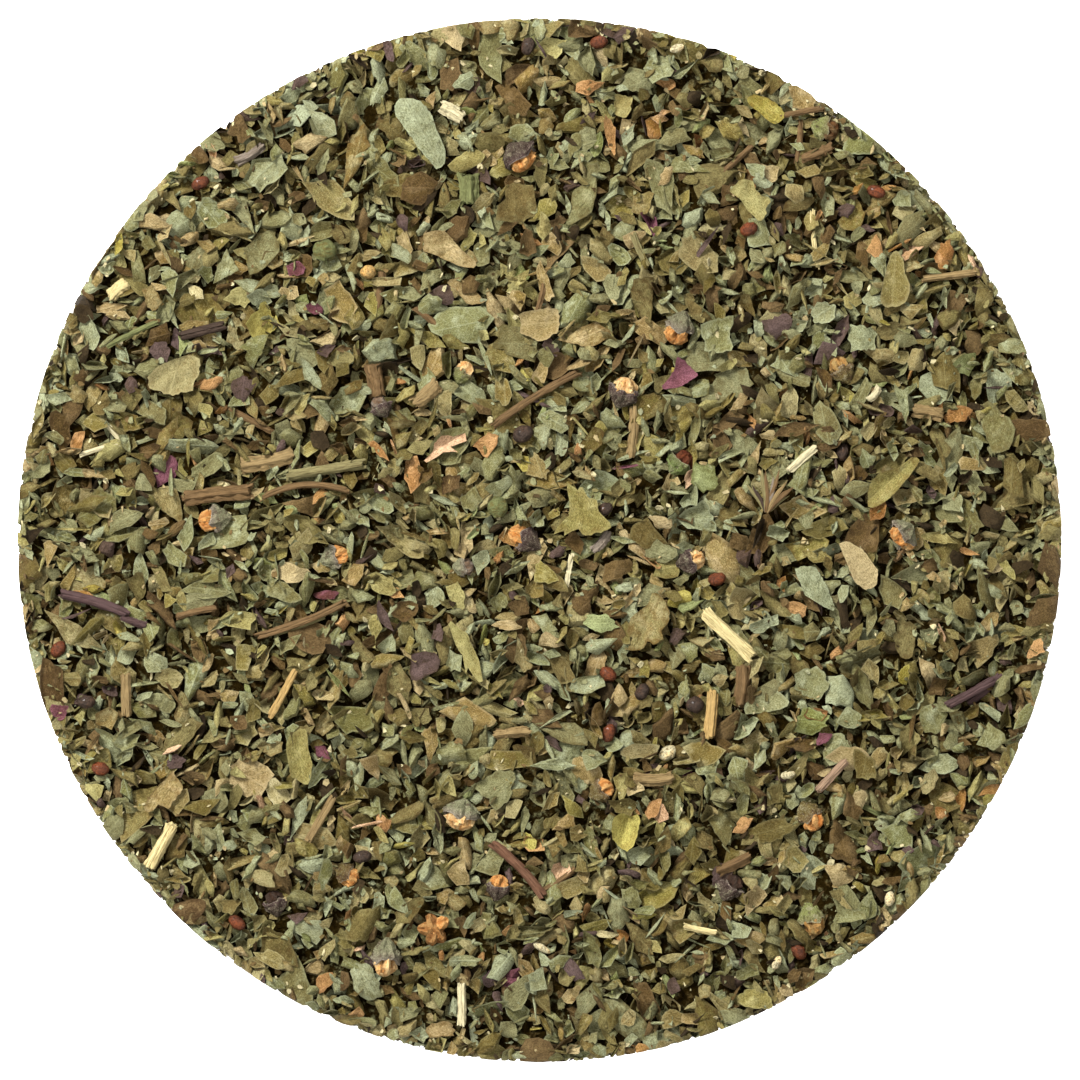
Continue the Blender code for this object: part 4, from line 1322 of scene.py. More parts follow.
def leaf_piece_flakes(rng, heap):
    """The larger leaf pieces, each at the place and height of its solid."""
    flakes = Flakes(rng, heap, FINE, len(LEAF_PIECES), tries=1)
    for index, piece in enumerate(LEAF_PIECES):
        stand = stand_of(piece.node, piece.heading)
        reach = reach_of_corners(CORNERS[piece.node], np.conj(stand.heading), FINE.points)
        half = reach.max()
        flakes.outline[index] = reach / half * (1.0 - 0.07 * rng.random(FINE.points))
        flakes.set_place(index, stand.spot, stand.heading, half, half, piece.kind)
        flakes.seed[index] = (index + 0.15) / HUE_STEP
        flakes.light[index] = piece.light
        flakes.patchy[index] = piece.patchy
        flakes.veined[index] = piece.veined
        bend = flakes.bend
        bend.slope[index] = complex(rng.uniform(-0.06, 0.06), rng.uniform(-0.1, 0.1))
        bend.fold[index] = piece.fold / stand.half_width
        bend.crease[index] = 1j
        bend.crease_at[index] = 0.0
        bend.curl_along[index] = piece.curl / half**2
        bend.curl_across[index] = 0.5 * piece.curl / stand.half_width**2
        bend.crinkle[index] = 0.10
        bend.ripple[index] = 0.05
        bend.lip[index] = rng.uniform(-0.1, 0.2)
        flakes.cut_at_rim(index)
        edge = flakes.outline[index] * half * np.exp(1j * TAU * np.arange(FINE.points) / FINE.points)
        local = np.concatenate([edge, 0.5 * edge, [0.0]])
        share = np.concatenate([np.ones(FINE.points), 0.5 * np.ones(FINE.points), [0.0]])
        raised = relief(flakes.bend_of(index), local, share)
        surface = float(heap.surface(np.array(stand.spot)))
        flakes.height[index] = stand.high - surface - heap.thickness - raised.max()
    return flakes


def keep_pieces_free(top, pieces):
    """Keeps flakes low where the named stems, cups, buds, seeds and leaf pieces lie."""
    for row in (*STEM_PIECES, *CUP_PIECES, *GRAIN_PIECES):
        stand = stand_of(row.node, row.heading)
        low = stand.middle_height - float(top.surface(np.array(stand.spot))) - 0.2
        top.hold_down(stand.spot, stand.heading, 0.95 * stand.half_length, 0.9 * stand.half_width, low)
    for index in range(len(LEAF_PIECES)):
        pieces.keep_free(index)


def keep_loose_free(top, length_share, width_share):
    """Keeps flakes low where the loose stems, cups and seeds are to lie."""
    for row in (*LOOSE_STEMS, *LOOSE_CUPS, *LOOSE_SEEDS):
        spot, heading = to_photo(row.pixel_x, row.pixel_y), facing(row.heading)
        top.hold_down(spot, heading, length_share * row.length, width_share * row.width, -SUNK * row.width)


@functools.cache
def laid_bed():
    """Every flake on the top, the side and the underside, laid once for all the pieces made of them."""
    sizes = bpy.context.scene.basil_sizes
    rng = np.random.default_rng(SEED)
    top, side, under = TopHeap(sizes), SideHeap(sizes), UnderHeap(sizes)
    pieces = leaf_piece_flakes(rng, top)
    placed = placed_leaves(rng, top)
    keep_pieces_free(top, pieces)
    keep_loose_free(top, 0.48, 0.45)
    for spot, heading, half_length, half_width in zip(
        placed.spot, placed.heading, placed.half_length, placed.half_width
    ):
        top.hold_down(spot, heading, half_length, half_width, -PLACED_DEPTH)
    batches = [
        Flakes(rng, top, LARGE, sizes.large),
        Flakes(rng, top, MEDIUM, sizes.medium),
        Flakes(rng, top, SMALL, sizes.small, tries=6),
        Flakes(rng, top, SLIVER, sizes.slivers),
    ]
    number = heap_up(rng, batches)
    top.ceiling[:] = np.maximum(top.ceiling, CEILING)
    keep_loose_free(top, 0.40, 0.35)
    keep_pieces_free(top, pieces)
    for index in range(len(LOOSE_LEAVES)):
        placed.lay(index, number + index, placed=True)
    batches.append(placed)
    crumbs = Flakes(rng, top, CRUMB, sizes.crumbs, tries=2)
    heap_up(rng, [crumbs], number + len(LOOSE_LEAVES))
    sides = [
        Flakes(rng, side, SIDE_LARGE, int(sizes.large * SIDE_SHARE * SIDE_LARGE_SHARE)),
        Flakes(rng, side, SIDE_MEDIUM, int(sizes.medium * SIDE_SHARE)),
        Flakes(rng, side, SMALL, int(sizes.small * SIDE_SHARE)),
    ]
    for flakes in sides:
        flakes.bend.slope[:] *= SIDE_TILT
    heap_up(rng, sides)
    unders = Flakes(rng, under, FLAT, sizes.under)
    heap_up(rng, [unders])
    return {"pieces": pieces, "top": batches, "crumbs": crumbs, "side": sides, "under": unders}


def shown_flakes(flakes, least):
    """The flakes of which the heap still shows at least so many cells."""
    numbers = flakes.heap.shown
    counts = np.bincount(numbers[numbers >= 0].ravel(), minlength=int(flakes.number.max()) + 1)
    return np.nonzero((flakes.number >= 0) & (counts[flakes.number] >= least))[0]


class LooseLeaf(NamedTuple):
    """A leaf flake at a place where the photograph shows one, with its size in mm."""

    pixel_x: float
    pixel_y: float
    kind: str
    length: float
    width: float
    heading: float


LOOSE_LEAVES = [LooseLeaf(*row) for row in (
    (498, 604, "moss", 3.8, 3.1, 85), (521, 605, "brown", 3.0, 2.7, 80), (582, 608, "brown", 3.6, 3.5, 40),
    (615, 570, "brown", 5.4, 4.4, 50), (575, 542, "brown", 3.8, 3.3, 100),
    (539, 466, "khaki", 5.4, 3.2, -70), (544, 435, "sage", 4.4, 2.5, 85),
    (450, 486, "brown", 4.8, 3.4, 70), (471, 500, "moss", 5.2, 3.6, 75), (518, 512, "sage", 3.2, 2.0, -60),
    (536, 519, "sage", 3.8, 2.6, 40), (546, 573, "straw_green", 3.4, 2.8, -30),
    (624, 588, "sage", 3.8, 1.8, -10), (599, 624, "fresh", 5.0, 3.0, 0), (507, 625, "tan", 3.4, 1.5, -5),
    (743, 604, "khaki", 4.4, 4.0, 30), (684, 689, "sage", 3.2, 1.8, 80),
    (645, 668, "straw_green", 2.8, 1.8, 80), (675, 636, "purple", 2.5, 1.8, 60),
    (715, 656, "brown", 3.9, 2.2, -10), (356, 155, "khaki", 8.2, 2.9, 75),
    (573, 149, "moss", 5.8, 5.2, 20), (414, 188, "brown", 5.4, 5.0, 0), (362, 927, "olive", 7.0, 5.0, 60),
    (86, 507, "olive", 6.0, 3.4, 10), (254, 348, "sage", 5.4, 4.4, 20), (825, 311, "sage", 5.4, 3.8, 30),
    (864, 340, "sage", 5.4, 4.4, -40), (719, 337, "sage", 5.4, 4.6, 80),
    (704, 479, "fresh", 6.0, 4.2, -30), (685, 162, "sage", 5.8, 2.9, -15), (436, 59, "sage", 4.5, 3.4, 95),
    (450, 755, "sage", 5.8, 3.8, 15), (498, 790, "moss", 5.6, 5.2, 45), (810, 684, "sage", 5.6, 4.6, 65),
    (812, 721, "fresh", 5.4, 3.2, -10), (461, 961, "sage", 4.8, 2.2, 0), (769, 831, "olive", 6.0, 4.2, 15),
    (865, 764, "olive", 4.8, 3.6, 80), (905, 640, "olive", 5.8, 3.3, 75),
    (796, 429, "brown", 5.0, 2.9, 10), (440, 1032, "tan", 5.4, 2.4, 5), (690, 605, "fresh", 3.6, 1.4, 25),
    (267, 323, "yellow", 5.0, 4.4, 70), (905, 674, "yellow", 2.8, 2.4, 90),
    (757, 1001, "straw_green", 4.5, 2.6, -15), (622, 105, "straw_green", 3.8, 3.0, 60),
    (119, 243, "yellow", 3.0, 2.2, 60), (381, 583, "straw_green", 4.2, 3.0, -20),
    (456, 595, "straw_green", 4.5, 2.6, 85), (490, 443, "ochre", 4.6, 3.0, 20),
    (664, 176, "tan", 3.2, 3.0, 30), (611, 139, "ochre", 5.8, 1.4, 100), (210, 384, "ochre", 3.8, 1.9, 15),
    (744, 826, "ochre", 3.6, 2.6, 30), (409, 609, "brown", 3.9, 3.5, 40),
    (944, 256, "ochre", 3.6, 2.4, 70), (876, 245, "ochre", 4.0, 2.0, 80),
    (652, 810, "ochre", 3.1, 2.6, 60), (958, 415, "ochre", 4.2, 2.1, 10),
    (1036, 647, "ochre", 3.4, 2.3, 50), (507, 538, "ochre", 3.0, 2.4, -40),
    (499, 558, "ochre", 1.9, 1.4, 60), (578, 450, "ochre", 2.2, 1.3, 80),
    (59, 711, "magenta", 2.6, 2.4, 40), (295, 270, "magenta", 2.8, 2.0, 20),
    (323, 753, "magenta", 2.8, 2.2, 60), (824, 738, "magenta", 2.4, 1.6, 30),
    (160, 351, "purple", 3.6, 3.0, 70), (316, 309, "magenta", 2.4, 1.8, -30),
    (174, 762, "purple", 3.0, 2.2, 20), (779, 326, "purple", 4.2, 3.0, 15),
    (438, 634, "purple", 2.6, 2.0, 70), (243, 388, "purple", 4.0, 3.0, 80),
    (722, 880, "purple", 3.4, 3.0, 80), (228, 268, "sage", 5.0, 4.2, 70),
    (300, 740, "olive", 5.6, 3.4, 85), (845, 210, "purple", 2.6, 2.0, 30),
    (985, 300, "olive", 4.6, 3.0, 60),
)]


def placed_leaves(rng, heap):
    """The loose leaf flakes that have a place in the photograph."""
    flakes = Flakes(rng, heap, PLACED, len(LOOSE_LEAVES), tries=1)
    for index, row in enumerate(LOOSE_LEAVES):
        spot = to_photo(row.pixel_x, row.pixel_y)
        flakes.set_place(index, spot, facing(row.heading), 0.54 * row.length, 0.54 * row.width, row.kind)
        flakes.bend.slope[index] *= 0.4
    return flakes


class Loose(NamedTuple):
    """A loose stem, cup or seed at a place where the photograph shows one, with its size in mm."""

    pixel_x: float
    pixel_y: float
    length: float
    width: float
    heading: float
    colour: str
    filling: str = "peach"


LOOSE_STEMS = [Loose(*row) for row in (
    (868.5, 809.5, 8.9, 0.7, -26, "green"), (131.5, 334, 7.6, 0.7, 26, "green"),
    (113, 431.5, 5.7, 0.6, -48, "cream"), (99.5, 449, 5.1, 0.6, 16, "cream"),
    (815, 239, 7.4, 0.6, -84, "straw"), (802, 112, 5.3, 0.7, 10, "brown"),
    (799, 141, 5.3, 0.7, 87, "brown"), (737, 159.5, 5.2, 0.7, 42, "brown"),
    (817, 153, 4.2, 1.2, 20, "brown"), (325.5, 470, 10.3, 1.2, 9, "olive"),
    (633, 431, 6.6, 1.2, 85, "tan"), (654, 779, 4.8, 1.4, 2, "tan"), (742, 685, 5.4, 1.9, 85, "brown"),
    (375, 381, 4.2, 2.0, 100, "brown"), (134, 622, 3.4, 1.0, -20, "purple"),
    (452, 112, 3.0, 1.8, -30, "cream"), (118, 290, 2.8, 1.6, 40, "straw"),
    (469, 189, 3.8, 2.4, 90, "green"), (250, 154, 4.2, 1.2, 30, "mauve"),
    (874, 394, 2.2, 0.9, 50, "cream"), (928, 413, 3.8, 1.6, -10, "tan"), (427, 394, 3.8, 1.9, 40, "tan"),
    (734, 864, 4.5, 1.4, 25, "brown"), (512, 733, 4.5, 1.3, 5, "tan"), (602, 542, 3.2, 1.2, 50, "mauve"),
    (569, 570, 4.2, 0.6, 80, "cream"), (267, 461, 7.0, 1.9, 12, "tan"), (217, 495, 9.0, 1.9, 6, "brown"),
    (380, 290, 6.0, 0.9, 82, "brown"), (250, 420, 6.4, 0.8, -28, "brown"),
    (905, 545, 4.6, 0.8, 60, "brown"), (560, 880, 4.8, 0.8, 35, "brown"),
    (196, 612, 5.2, 0.8, 12, "brown"), (640, 250, 4.4, 0.8, -65, "olive"),
    (300, 625, 6.6, 0.7, 20, "olive"), (700, 930, 4.2, 0.7, -12, "straw"),
    (802, 459, 4.6, 0.9, 42, "cream"), (985, 690, 5.6, 1.0, 40, "purple"),
    (430, 320, 5.0, 0.8, -40, "brown"), (540, 300, 4.2, 0.7, 75, "brown"),
)]
LOOSE_CUPS = [Loose(*row) for row in (
    (463, 373, 3.0, 2.6, 60, "olive", "peach"), (842, 370, 3.6, 3.0, 120, "brown", "golden"),
    (525, 539, 4.4, 3.0, 150, "purple", "ochre"), (346, 874, 3.4, 2.8, -40, "brown", "ochre"),
    (334, 557, 3.6, 2.8, 20, "mauve", "ochre"), (810, 816, 3.9, 3.1, -60, "brown", "ochre"),
    (275, 904, 3.2, 2.8, 100, "purple", "dark_brown"), (498, 888, 3.2, 2.8, 80, "purple", "ochre"),
    (730, 888, 3.4, 3.1, 60, "purple", "dark_brown"), (381, 407, 2.8, 2.6, 120, "purple", "mauve"),
    (680, 463, 3.4, 3.2, 45, "green", "red_brown"), (825, 128, 3.4, 3.2, -20, "olive", "brown"),
    (463, 567, 2.6, 2.4, 0, "mauve", "mauve"), (812, 919, 4.2, 3.0, -70, "olive", "golden"),
    (904, 540, 3.2, 2.6, -30, "mauve", "peach"), (601, 791, 3.2, 2.8, 30, "brown", "ochre"),
)]
LOOSE_SEEDS = [Loose(*row) for row in (
    (749, 229, 2.2, 1.6, 20, "red_brown"), (528, 46, 2.2, 1.6, 70, "dark_brown"),
    (599, 42, 2.2, 1.6, 10, "red_brown"), (608, 674, 2.2, 1.6, -30, "red_brown"),
    (642, 692, 2.2, 1.6, 60, "dark_brown"), (717, 579, 2.2, 1.6, 15, "red_brown"),
    (843, 452, 2.2, 1.6, 80, "dark_brown"), (100, 769, 2.2, 1.6, -10, "red_brown"),
    (58, 649, 2.2, 1.6, 50, "red_brown"), (86, 702, 2.2, 1.6, 0, "dark_brown"),
    (799, 952, 2.2, 1.6, -50, "red_brown"), (523, 434, 2.6, 2.0, 30, "dark_brown"),
    (368, 272, 1.9, 1.7, 0, "golden"), (695, 705, 2.2, 2.0, 0, "dark_brown"),
    (605, 509, 2.0, 1.5, 30, "dark_brown"), (668, 753, 2.4, 1.6, 30, "cream"),
    (777, 963, 1.8, 1.0, 60, "cream"), (788, 775, 1.8, 1.0, 10, "cream"),
    (541, 948, 2.6, 0.9, -30, "cream"), (890, 899, 1.9, 1.2, 80, "cream"),
    (677, 48, 1.8, 1.0, 20, "cream"),
)]


class Stem(NamedTuple):
    """A broken stem in place of its solid: its heading, colour, bow in mm, strands and how far they part."""

    node: str
    heading: float
    colour: str
    bow: float = 0.0
    strands: int = 7
    fray: float = 0.12
    slot: str = "stem_straw"


STEM_PIECES = (
    Stem("stem_straw_split", -43, "straw", fray=0.20, strands=8),
    Stem("stem_golden", -95, "golden", slot="stem_golden"),
    Stem("stem_brown_long", 32, "brown", bow=0.3, slot="stem_brown"),
    Stem("stem_brown_left", 21, "brown", bow=-0.4, slot="stem_brown"),
    Stem("stem_purple_left", -17, "purple", bow=0.3, slot="stem_purple"),
    Stem("stem_purple_right", 29, "purple", fray=0.4, slot="stem_mauve"),
    Stem("stem_red", -46, "rust", bow=0.3, fray=0.2, slot="stem_red_brown"),
    Stem("stem_straw_low", -118, "straw", fray=0.18),
    Stem("stem_brown_low", 60, "tan", slot="stem_brown"),
    Stem("stem_straw_stub", -89, "tan"),
    Stem("stem_brown_bent", 5, "brown", bow=1.3, slot="stem_golden"),
    Stem("stem_dark", 14, "dark_brown", slot="stem_dark_brown"),
    Stem("stem_stick", 7, "tan", slot="stem_tan"),
    Stem("stem_stalk", 47, "magenta", slot="stem_magenta"),
    Stem("stem_cream", -90, "cream", slot="stem_cream"),
    Stem("stem_golden_thin", 61, "golden", slot="stem_golden"),
)


class Cup(NamedTuple):
    """A flower cup in place of its solid: the way its mouth points, its skin and what fills the mouth."""

    node: str
    heading: float
    colour: str
    filling: str
    slot: str


CUP_PIECES = [Cup(*row) for row in (
    ("cup_peach", -95, "mauve", "peach", "cup_peach"),
    ("cup_low", -105, "mauve", "peach", "cup_mauve"),
    ("cup_top", -50, "purple", "ochre", "cup_purple"),
    ("cup_upper", -110, "mauve", "ochre", "cup_mauve"),
    ("cup_orange", 15, "purple", "peach", "cup_ochre"),
    ("cup_right", -140, "mauve", "ochre", "cup_green"),
    ("cup_left", 190, "mauve", "ochre", "cup_purple"),
    ("cup_ochre", 30, "ochre", "ochre", "cup_ochre"),
    ("cup_whorl", 80, "brown", "", "cup_brown"),
    ("cup_purple", 70, "purple", "peach", "cup_purple"),
)]


class Grain(NamedTuple):
    """A bud or a seed in place of its solid."""

    node: str
    heading: float
    colour: str
    slot: str


GRAIN_PIECES = [Grain(*row) for row in (
    ("bud_round", 0, "green", "grain_green"),
    ("bud_green", 0, "green", "grain_green"),
    ("seed_upper_left", 30, "red_brown", "grain_red_brown"),
    ("seed_upper_right", -20, "red_brown", "grain_red_brown"),
    ("seed_middle", 70, "red_brown", "grain_red_brown"),
    ("seed_lower", 10, "dark_brown", "grain_dark_brown"),
    ("seed_lower_left", -40, "red_brown", "grain_red_brown"),
)]


# How many parts a flower cup, a corolla and a whorl are made of
CUP_PARTS = 3
COROLLA_LOBES = 5
WHORL_BRACTS = 9
# How lumpy each kind of ball is, as a share of its radius
BUD_LUMPS = 0.10
LOBE_LUMPS = 0.14
GREEN_BUD_LUMPS = 0.09
SEED_LUMPS = 0.06


def dry_colour(name):
    return np.array(getattr(bpy.context.scene.basil_dry_colours, name))


def add_tube(made, tile, rings, spot, tone, edge, tint):
    """Adds a closed tube through rings of points, with a middle point at either end."""
    count, sides, _ = rings.shape
    points = np.concatenate([rings.reshape(-1, 3), rings[0].mean(axis=0)[None], rings[-1].mean(axis=0)[None]])
    ring = np.arange(sides)
    after = (ring + 1) % sides
    starts = sides * np.arange(count - 1)
    quads = np.concatenate([
        np.stack([start + ring, start + after, start + sides + after, start + sides + ring], axis=1)
        for start in starts
    ])
    first, last = count * sides, count * sides + 1
    start = np.stack([np.full(sides, first), after, ring], axis=1)
    end = np.stack([np.full(sides, last), (count - 1) * sides + ring, (count - 1) * sides + after], axis=1)
    left, bottom, size = tile
    steps = np.arange(count) / (count - 1)
    turn = np.arange(sides + 1) / sides

    def body(ring_number, side_number):
        across = left + size * (0.04 + 0.92 * turn[side_number])
        up = bottom + size * (0.30 + 0.66 * steps[ring_number])
        return np.stack(np.broadcast_arrays(across, up), axis=-1)

    side_tiles = np.concatenate([
        np.stack([body(n, ring), body(n, ring + 1), body(n + 1, ring + 1), body(n + 1, ring)], axis=1)
        for n in range(count - 1)
    ])
    angle = TAU * turn

    def cap(middle_across, order):
        middle = np.array([left + size * middle_across, bottom + size * 0.13])
        rim = middle + size * 0.11 * np.stack([np.cos(angle), np.sin(angle)], axis=1)
        corners = [np.broadcast_to(middle, (sides, 2)), rim[:-1], rim[1:]]
        return np.stack([corners[n] for n in order], axis=1)

    tiles = [side_tiles, cap(0.15, (0, 2, 1)), cap(0.45, (0, 1, 2))]
    spot = np.concatenate([spot, spot[:1], spot[-1:]])
    edge = np.concatenate([edge, edge[:1], edge[-1:]])
    made.add(points, [quads, start, end], tiles, spot, tone, edge, tint)


# The whole square of the bake: its left, its bottom and its size
WHOLE_TILE = (0.0, 0.0, 1.0)


def square_tiles(count):
    """Equal square tiles in the bake for pieces made of several closed parts."""
    columns = math.ceil(math.sqrt(count))
    size = 1.0 / columns
    return [(number % columns * size, number // columns * size, size) for number in range(count)]


def add_stem(made, tiles, rng, stand, tone, bow, strands, fray):
    """A broken stem as a bundle of fibre strands round a core, which part and snap unevenly at the ends."""
    steps, sides = 13, 7
    radius = min(stand.half_width, stand.rise * 1.05)
    for strand in range(strands):
        core = strand == 0
        angle = TAU * (strand - 1) / (strands - 1) + rng.uniform(-0.2, 0.2)
        away = 0.0 if core else radius * 0.56
        thick = radius * (0.88 if core else 0.44)
        ends = stand.half_length * (1.0 - np.array([rng.uniform(0.0, 0.16), rng.uniform(0.0, 0.16)]))
        along = np.linspace(-ends[0], ends[1], steps)
        share = along / stand.half_length
        part = fray * radius * np.abs(share) ** 5 * rng.uniform(0.0, 2.2, 1)
        sway = away + part + 0.05 * radius * np.sin(share * rng.uniform(2, 5) + rng.uniform(0, TAU))
        across = bow * (1.0 - share**2) - 0.5 * bow + sway * math.cos(angle)
        limit = max(stand.rise - 0.2 * thick, 0.2)
        up = np.clip(sway * math.sin(angle), -limit, limit) + stand.middle_height
        turn = TAU * np.arange(sides) / sides
        knots = 1.0 + 0.10 * rng.standard_normal((steps, 1)) + 0.12 * rng.standard_normal((1, sides))
        near_end = np.abs(share[:, None])
        narrow = thick * knots * (1.0 - 0.45 * near_end**8)
        section_across = across[:, None] + narrow * np.cos(turn)
        section_up = up[:, None] + narrow * np.sin(turn) * 0.9
        snapped = 0.35 * radius * rng.standard_normal((steps, sides)) * 0.4
        jagged = along[:, None] + np.where(near_end > 0.7, snapped, 0.0)
        place = stand.spot + (jagged + 1j * section_across) * stand.heading
        rings = np.stack([place.real, place.imag, np.minimum(section_up, stand.high)], axis=-1)
        round_it = np.broadcast_to(turn * thick + strand * 3.0, jagged.shape)
        spot = np.stack([jagged, round_it, np.full(jagged.shape, 7.0 * rng.random())], axis=-1).reshape(-1, 3)
        shade = np.array([rng.uniform(0.35, 1.0), rng.random(), 0.0])
        edge = np.broadcast_to(near_end, jagged.shape).ravel()
        add_tube(made, tiles[strand], rings, spot, shade, edge, tone)


def add_ball(made, tile, rng, middle, axes, sizes, tone, lumps, steps=9, sides=16, folds=0):
    """A closed lumpy ball, such as a seed or a bud, or with folds from end to end a crumpled corolla."""
    lift = np.linspace(-0.97, 0.97, steps) * math.pi / 2.0
    turn = TAU * np.arange(sides) / sides
    sway = rng.uniform(0, TAU) + 0.9 * np.sin(lift * 1.7 + rng.uniform(0, TAU))[:, None]
    fold = np.abs(np.cos(0.5 * folds * turn + sway)) ** 4 if folds else np.zeros((steps, sides))
    lump = 1.0 + lumps * rng.standard_normal((steps, sides)) - 0.38 * fold
    shape = np.stack([
        np.sin(lift)[:, None] * np.ones(sides),
        np.cos(lift)[:, None] * np.cos(turn) * lump,
        np.cos(lift)[:, None] * np.sin(turn) * lump,
    ], axis=-1) * np.array(sizes)
    rings = middle + shape @ np.array(axes)
    spot = shape.reshape(-1, 3) + rng.uniform(0, 50, 3)
    shade = np.array([rng.uniform(0.8, 1.0), 0.0, 0.0])
    # The folds go on as the edge value, which the husk finish paints darker as shade in the folds.
    add_tube(made, tile, rings, spot, shade, 0.8 * fold.ravel(), tone)


def add_corolla(made, tiles, rng, stand, tone):
    """A crumpled corolla without its calyx: a few creased lobes pressed into one another."""
    way, side, upward = stand.axes
    for number, tile in enumerate(tiles):
        turn = TAU * number / len(tiles) + rng.uniform(-0.3, 0.3)
        ahead, aside = math.cos(turn), math.sin(turn)
        away = way * stand.half_length * 0.30 * ahead + side * stand.half_width * 0.30 * aside
        axes = (way * ahead + side * aside, side * ahead - way * aside, upward)
        size = (stand.half_length * 0.66, stand.half_width * 0.52, stand.rise * rng.uniform(0.6, 0.9))
        shade = tone * rng.uniform(0.55, 1.1)
        add_ball(made, tile, rng, stand.middle + away, axes, size, shade, LOBE_LUMPS, folds=3)


def add_cup(made, tiles, rng, stand, tone, filling):
    """A flower cup: a wrinkled calyx with a toothed mouth, and the crumpled bud that fills the mouth."""
    sides, steps, turned_in = 24, 9, 4
    middle, axes = stand.middle, stand.axes
    half, wide, rise = stand.half_length, stand.half_width, stand.rise
    share = np.linspace(0.0, 1.0, steps)
    swell = np.interp(share, (0.0, 0.12, 0.35, 0.65, 0.88, 1.0), (0.12, 0.28, 0.58, 0.88, 1.0, 0.94))
    turn = TAU * np.arange(sides) / sides
    ribs = 1.0 + 0.11 * np.cos(turn * 7 + rng.uniform(0, TAU)) + 0.04 * rng.standard_normal(sides)
    teeth = 0.26 * np.maximum(0.0, np.cos(turn * 2.5 + rng.uniform(0, TAU))) + 0.12 * rng.random(sides)
    profile = np.concatenate([swell, swell[::-1][:turned_in] * 0.84])[:, None]
    reach = np.concatenate([share, share[::-1][:turned_in]])[:, None]
    mouth = np.clip((reach - 0.6) / 0.4, 0.0, 1.0)
    along = half * (-1.0 + 1.05 * reach + teeth[None, :] * mouth)
    wrinkle = 1.0 + 0.09 * rng.standard_normal((len(reach), sides))
    shape = np.stack([
        along,
        wide * profile * ribs * wrinkle * np.cos(turn),
        rise * 0.96 * profile * ribs * wrinkle * np.sin(turn),
    ], axis=-1)
    rings = middle + shape @ axes
    rings[..., 2] = np.minimum(rings[..., 2], stand.high)
    spot = shape.reshape(-1, 3) + rng.uniform(0, 50, 3)
    edge = np.broadcast_to(mouth, shape.shape[:2]).ravel()
    shade = np.array([rng.uniform(0.3, 1.0), 1.0, 0.0])
    add_tube(made, tiles[0], rings, spot, shade, edge, tone)
    way, side, upward = axes
    bud = np.array([half * 0.66, wide * 0.86, rise * 0.92])
    add_ball(made, tiles[1], rng, middle + way * half * 0.34, axes, bud, filling, BUD_LUMPS, 11, 20, folds=5)
    off = side * wide * rng.uniform(-0.4, 0.4) + upward * rise * 0.3
    lobe, shade = bud * (0.62, 0.5, 0.5), filling * (1.05, 0.90, 0.75)
    add_ball(made, tiles[2], rng, middle + way * half * 0.5 + off, axes, lobe, shade, LOBE_LUMPS, folds=3)


def add_whorl(made, tiles, rng, stand):
    """A dried whorl: narrow bracts and stalks that spread from one point over a dark hollow."""
    root = stand.spot - stand.heading * stand.half_length * 0.85
    colours = ("olive", "brown", "tan", "brown", "mauve", "brown", "olive", "dark_brown")
    for number, tile in enumerate(tiles):
        spread = -0.85 + 1.7 * (number + 0.5) / len(tiles) + rng.uniform(-0.16, 0.16)
        heading = stand.heading * complex(math.cos(spread), math.sin(spread))
        long = stand.half_length * rng.uniform(1.2, 1.8) * (1.0 - 0.25 * abs(spread))
        tip = root + heading * long
        width = rng.uniform(0.35, 0.75)
        height = stand.high - 0.5 - 0.9 * abs(spread) - rng.uniform(0.0, 0.5)
        bract = Stand((root + tip) / 2.0, heading, long / 2.0, width / 2.0, height - 0.35, height + 0.35)
        add_strand(made, tile, rng, bract, dry_colour(colours[number % len(colours)]))


def add_strand(made, tile, rng, stand, tone):
    """A single narrow strand, pointed at its far end and bowed upwards."""
    steps, sides = 11, 8
    share = np.linspace(-1.0, 1.0, steps)
    thin = np.interp(share, (-1.0, -0.7, 0.4, 1.0), (0.5, 1.0, 0.9, 0.08))
    turn = TAU * np.arange(sides) / sides
    sway = 0.4 * stand.half_width * np.sin(share * rng.uniform(2.0, 4.0) + rng.uniform(0, TAU))
    across = sway[:, None] + stand.half_width * thin[:, None] * np.cos(turn)
    bowed = stand.middle_height + 0.5 * stand.rise * (1.0 - share[:, None] ** 2)
    up = bowed + 0.6 * stand.rise * thin[:, None] * np.sin(turn)
    along = np.broadcast_to(share[:, None] * stand.half_length, across.shape)
    place = stand.spot + (along + 1j * across) * stand.heading
    rings = np.stack([place.real, place.imag, up], axis=-1)
    spot = np.stack([along, across * 1.5, np.full(along.shape, 9.0 * rng.random())], axis=-1).reshape(-1, 3)
    edge = np.broadcast_to(np.abs(share)[:, None], along.shape).ravel()
    add_tube(made, tile, rings, spot, np.array([rng.uniform(0.4, 1.0), 0.8, 0.0]), edge, tone)


def add_grain(made, tile, rng, stand, tone, lumps):
    size = (stand.half_length, stand.half_width, stand.rise)
    add_ball(made, tile, rng, stand.middle, stand.axes, size, tone, lumps, 11)


def belongs(obj, slot, *nodes):
    """Fixes a piece to the bed's body and hides the solids that it stands for; the slot is not used."""
    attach(obj, "root")
    if nodes:
        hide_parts(*nodes)
    return obj


def make_flakes(name, material, slot, parts, *nodes):
    """Makes one piece of the chosen flakes of each batch."""
    total = sum(len(chosen) for _, chosen in parts)
    if not total:
        raise RuntimeError(f"no flakes were laid for {name}")
    made, tiles = Made(), Tiles(total)
    for flakes, chosen in parts:
        add_flakes(made, tiles, flakes, chosen)
    belongs(made.finish(name, material), slot, *nodes)


def own_pieces(rows, seed):
    """Each named piece with its own random draws, and the place and tone in which it is made."""
    for number, row in enumerate(rows):
        rng = np.random.default_rng(SEED + seed + number)
        yield row, rng, stand_of(row.node, row.heading), dry_colour(row.colour)


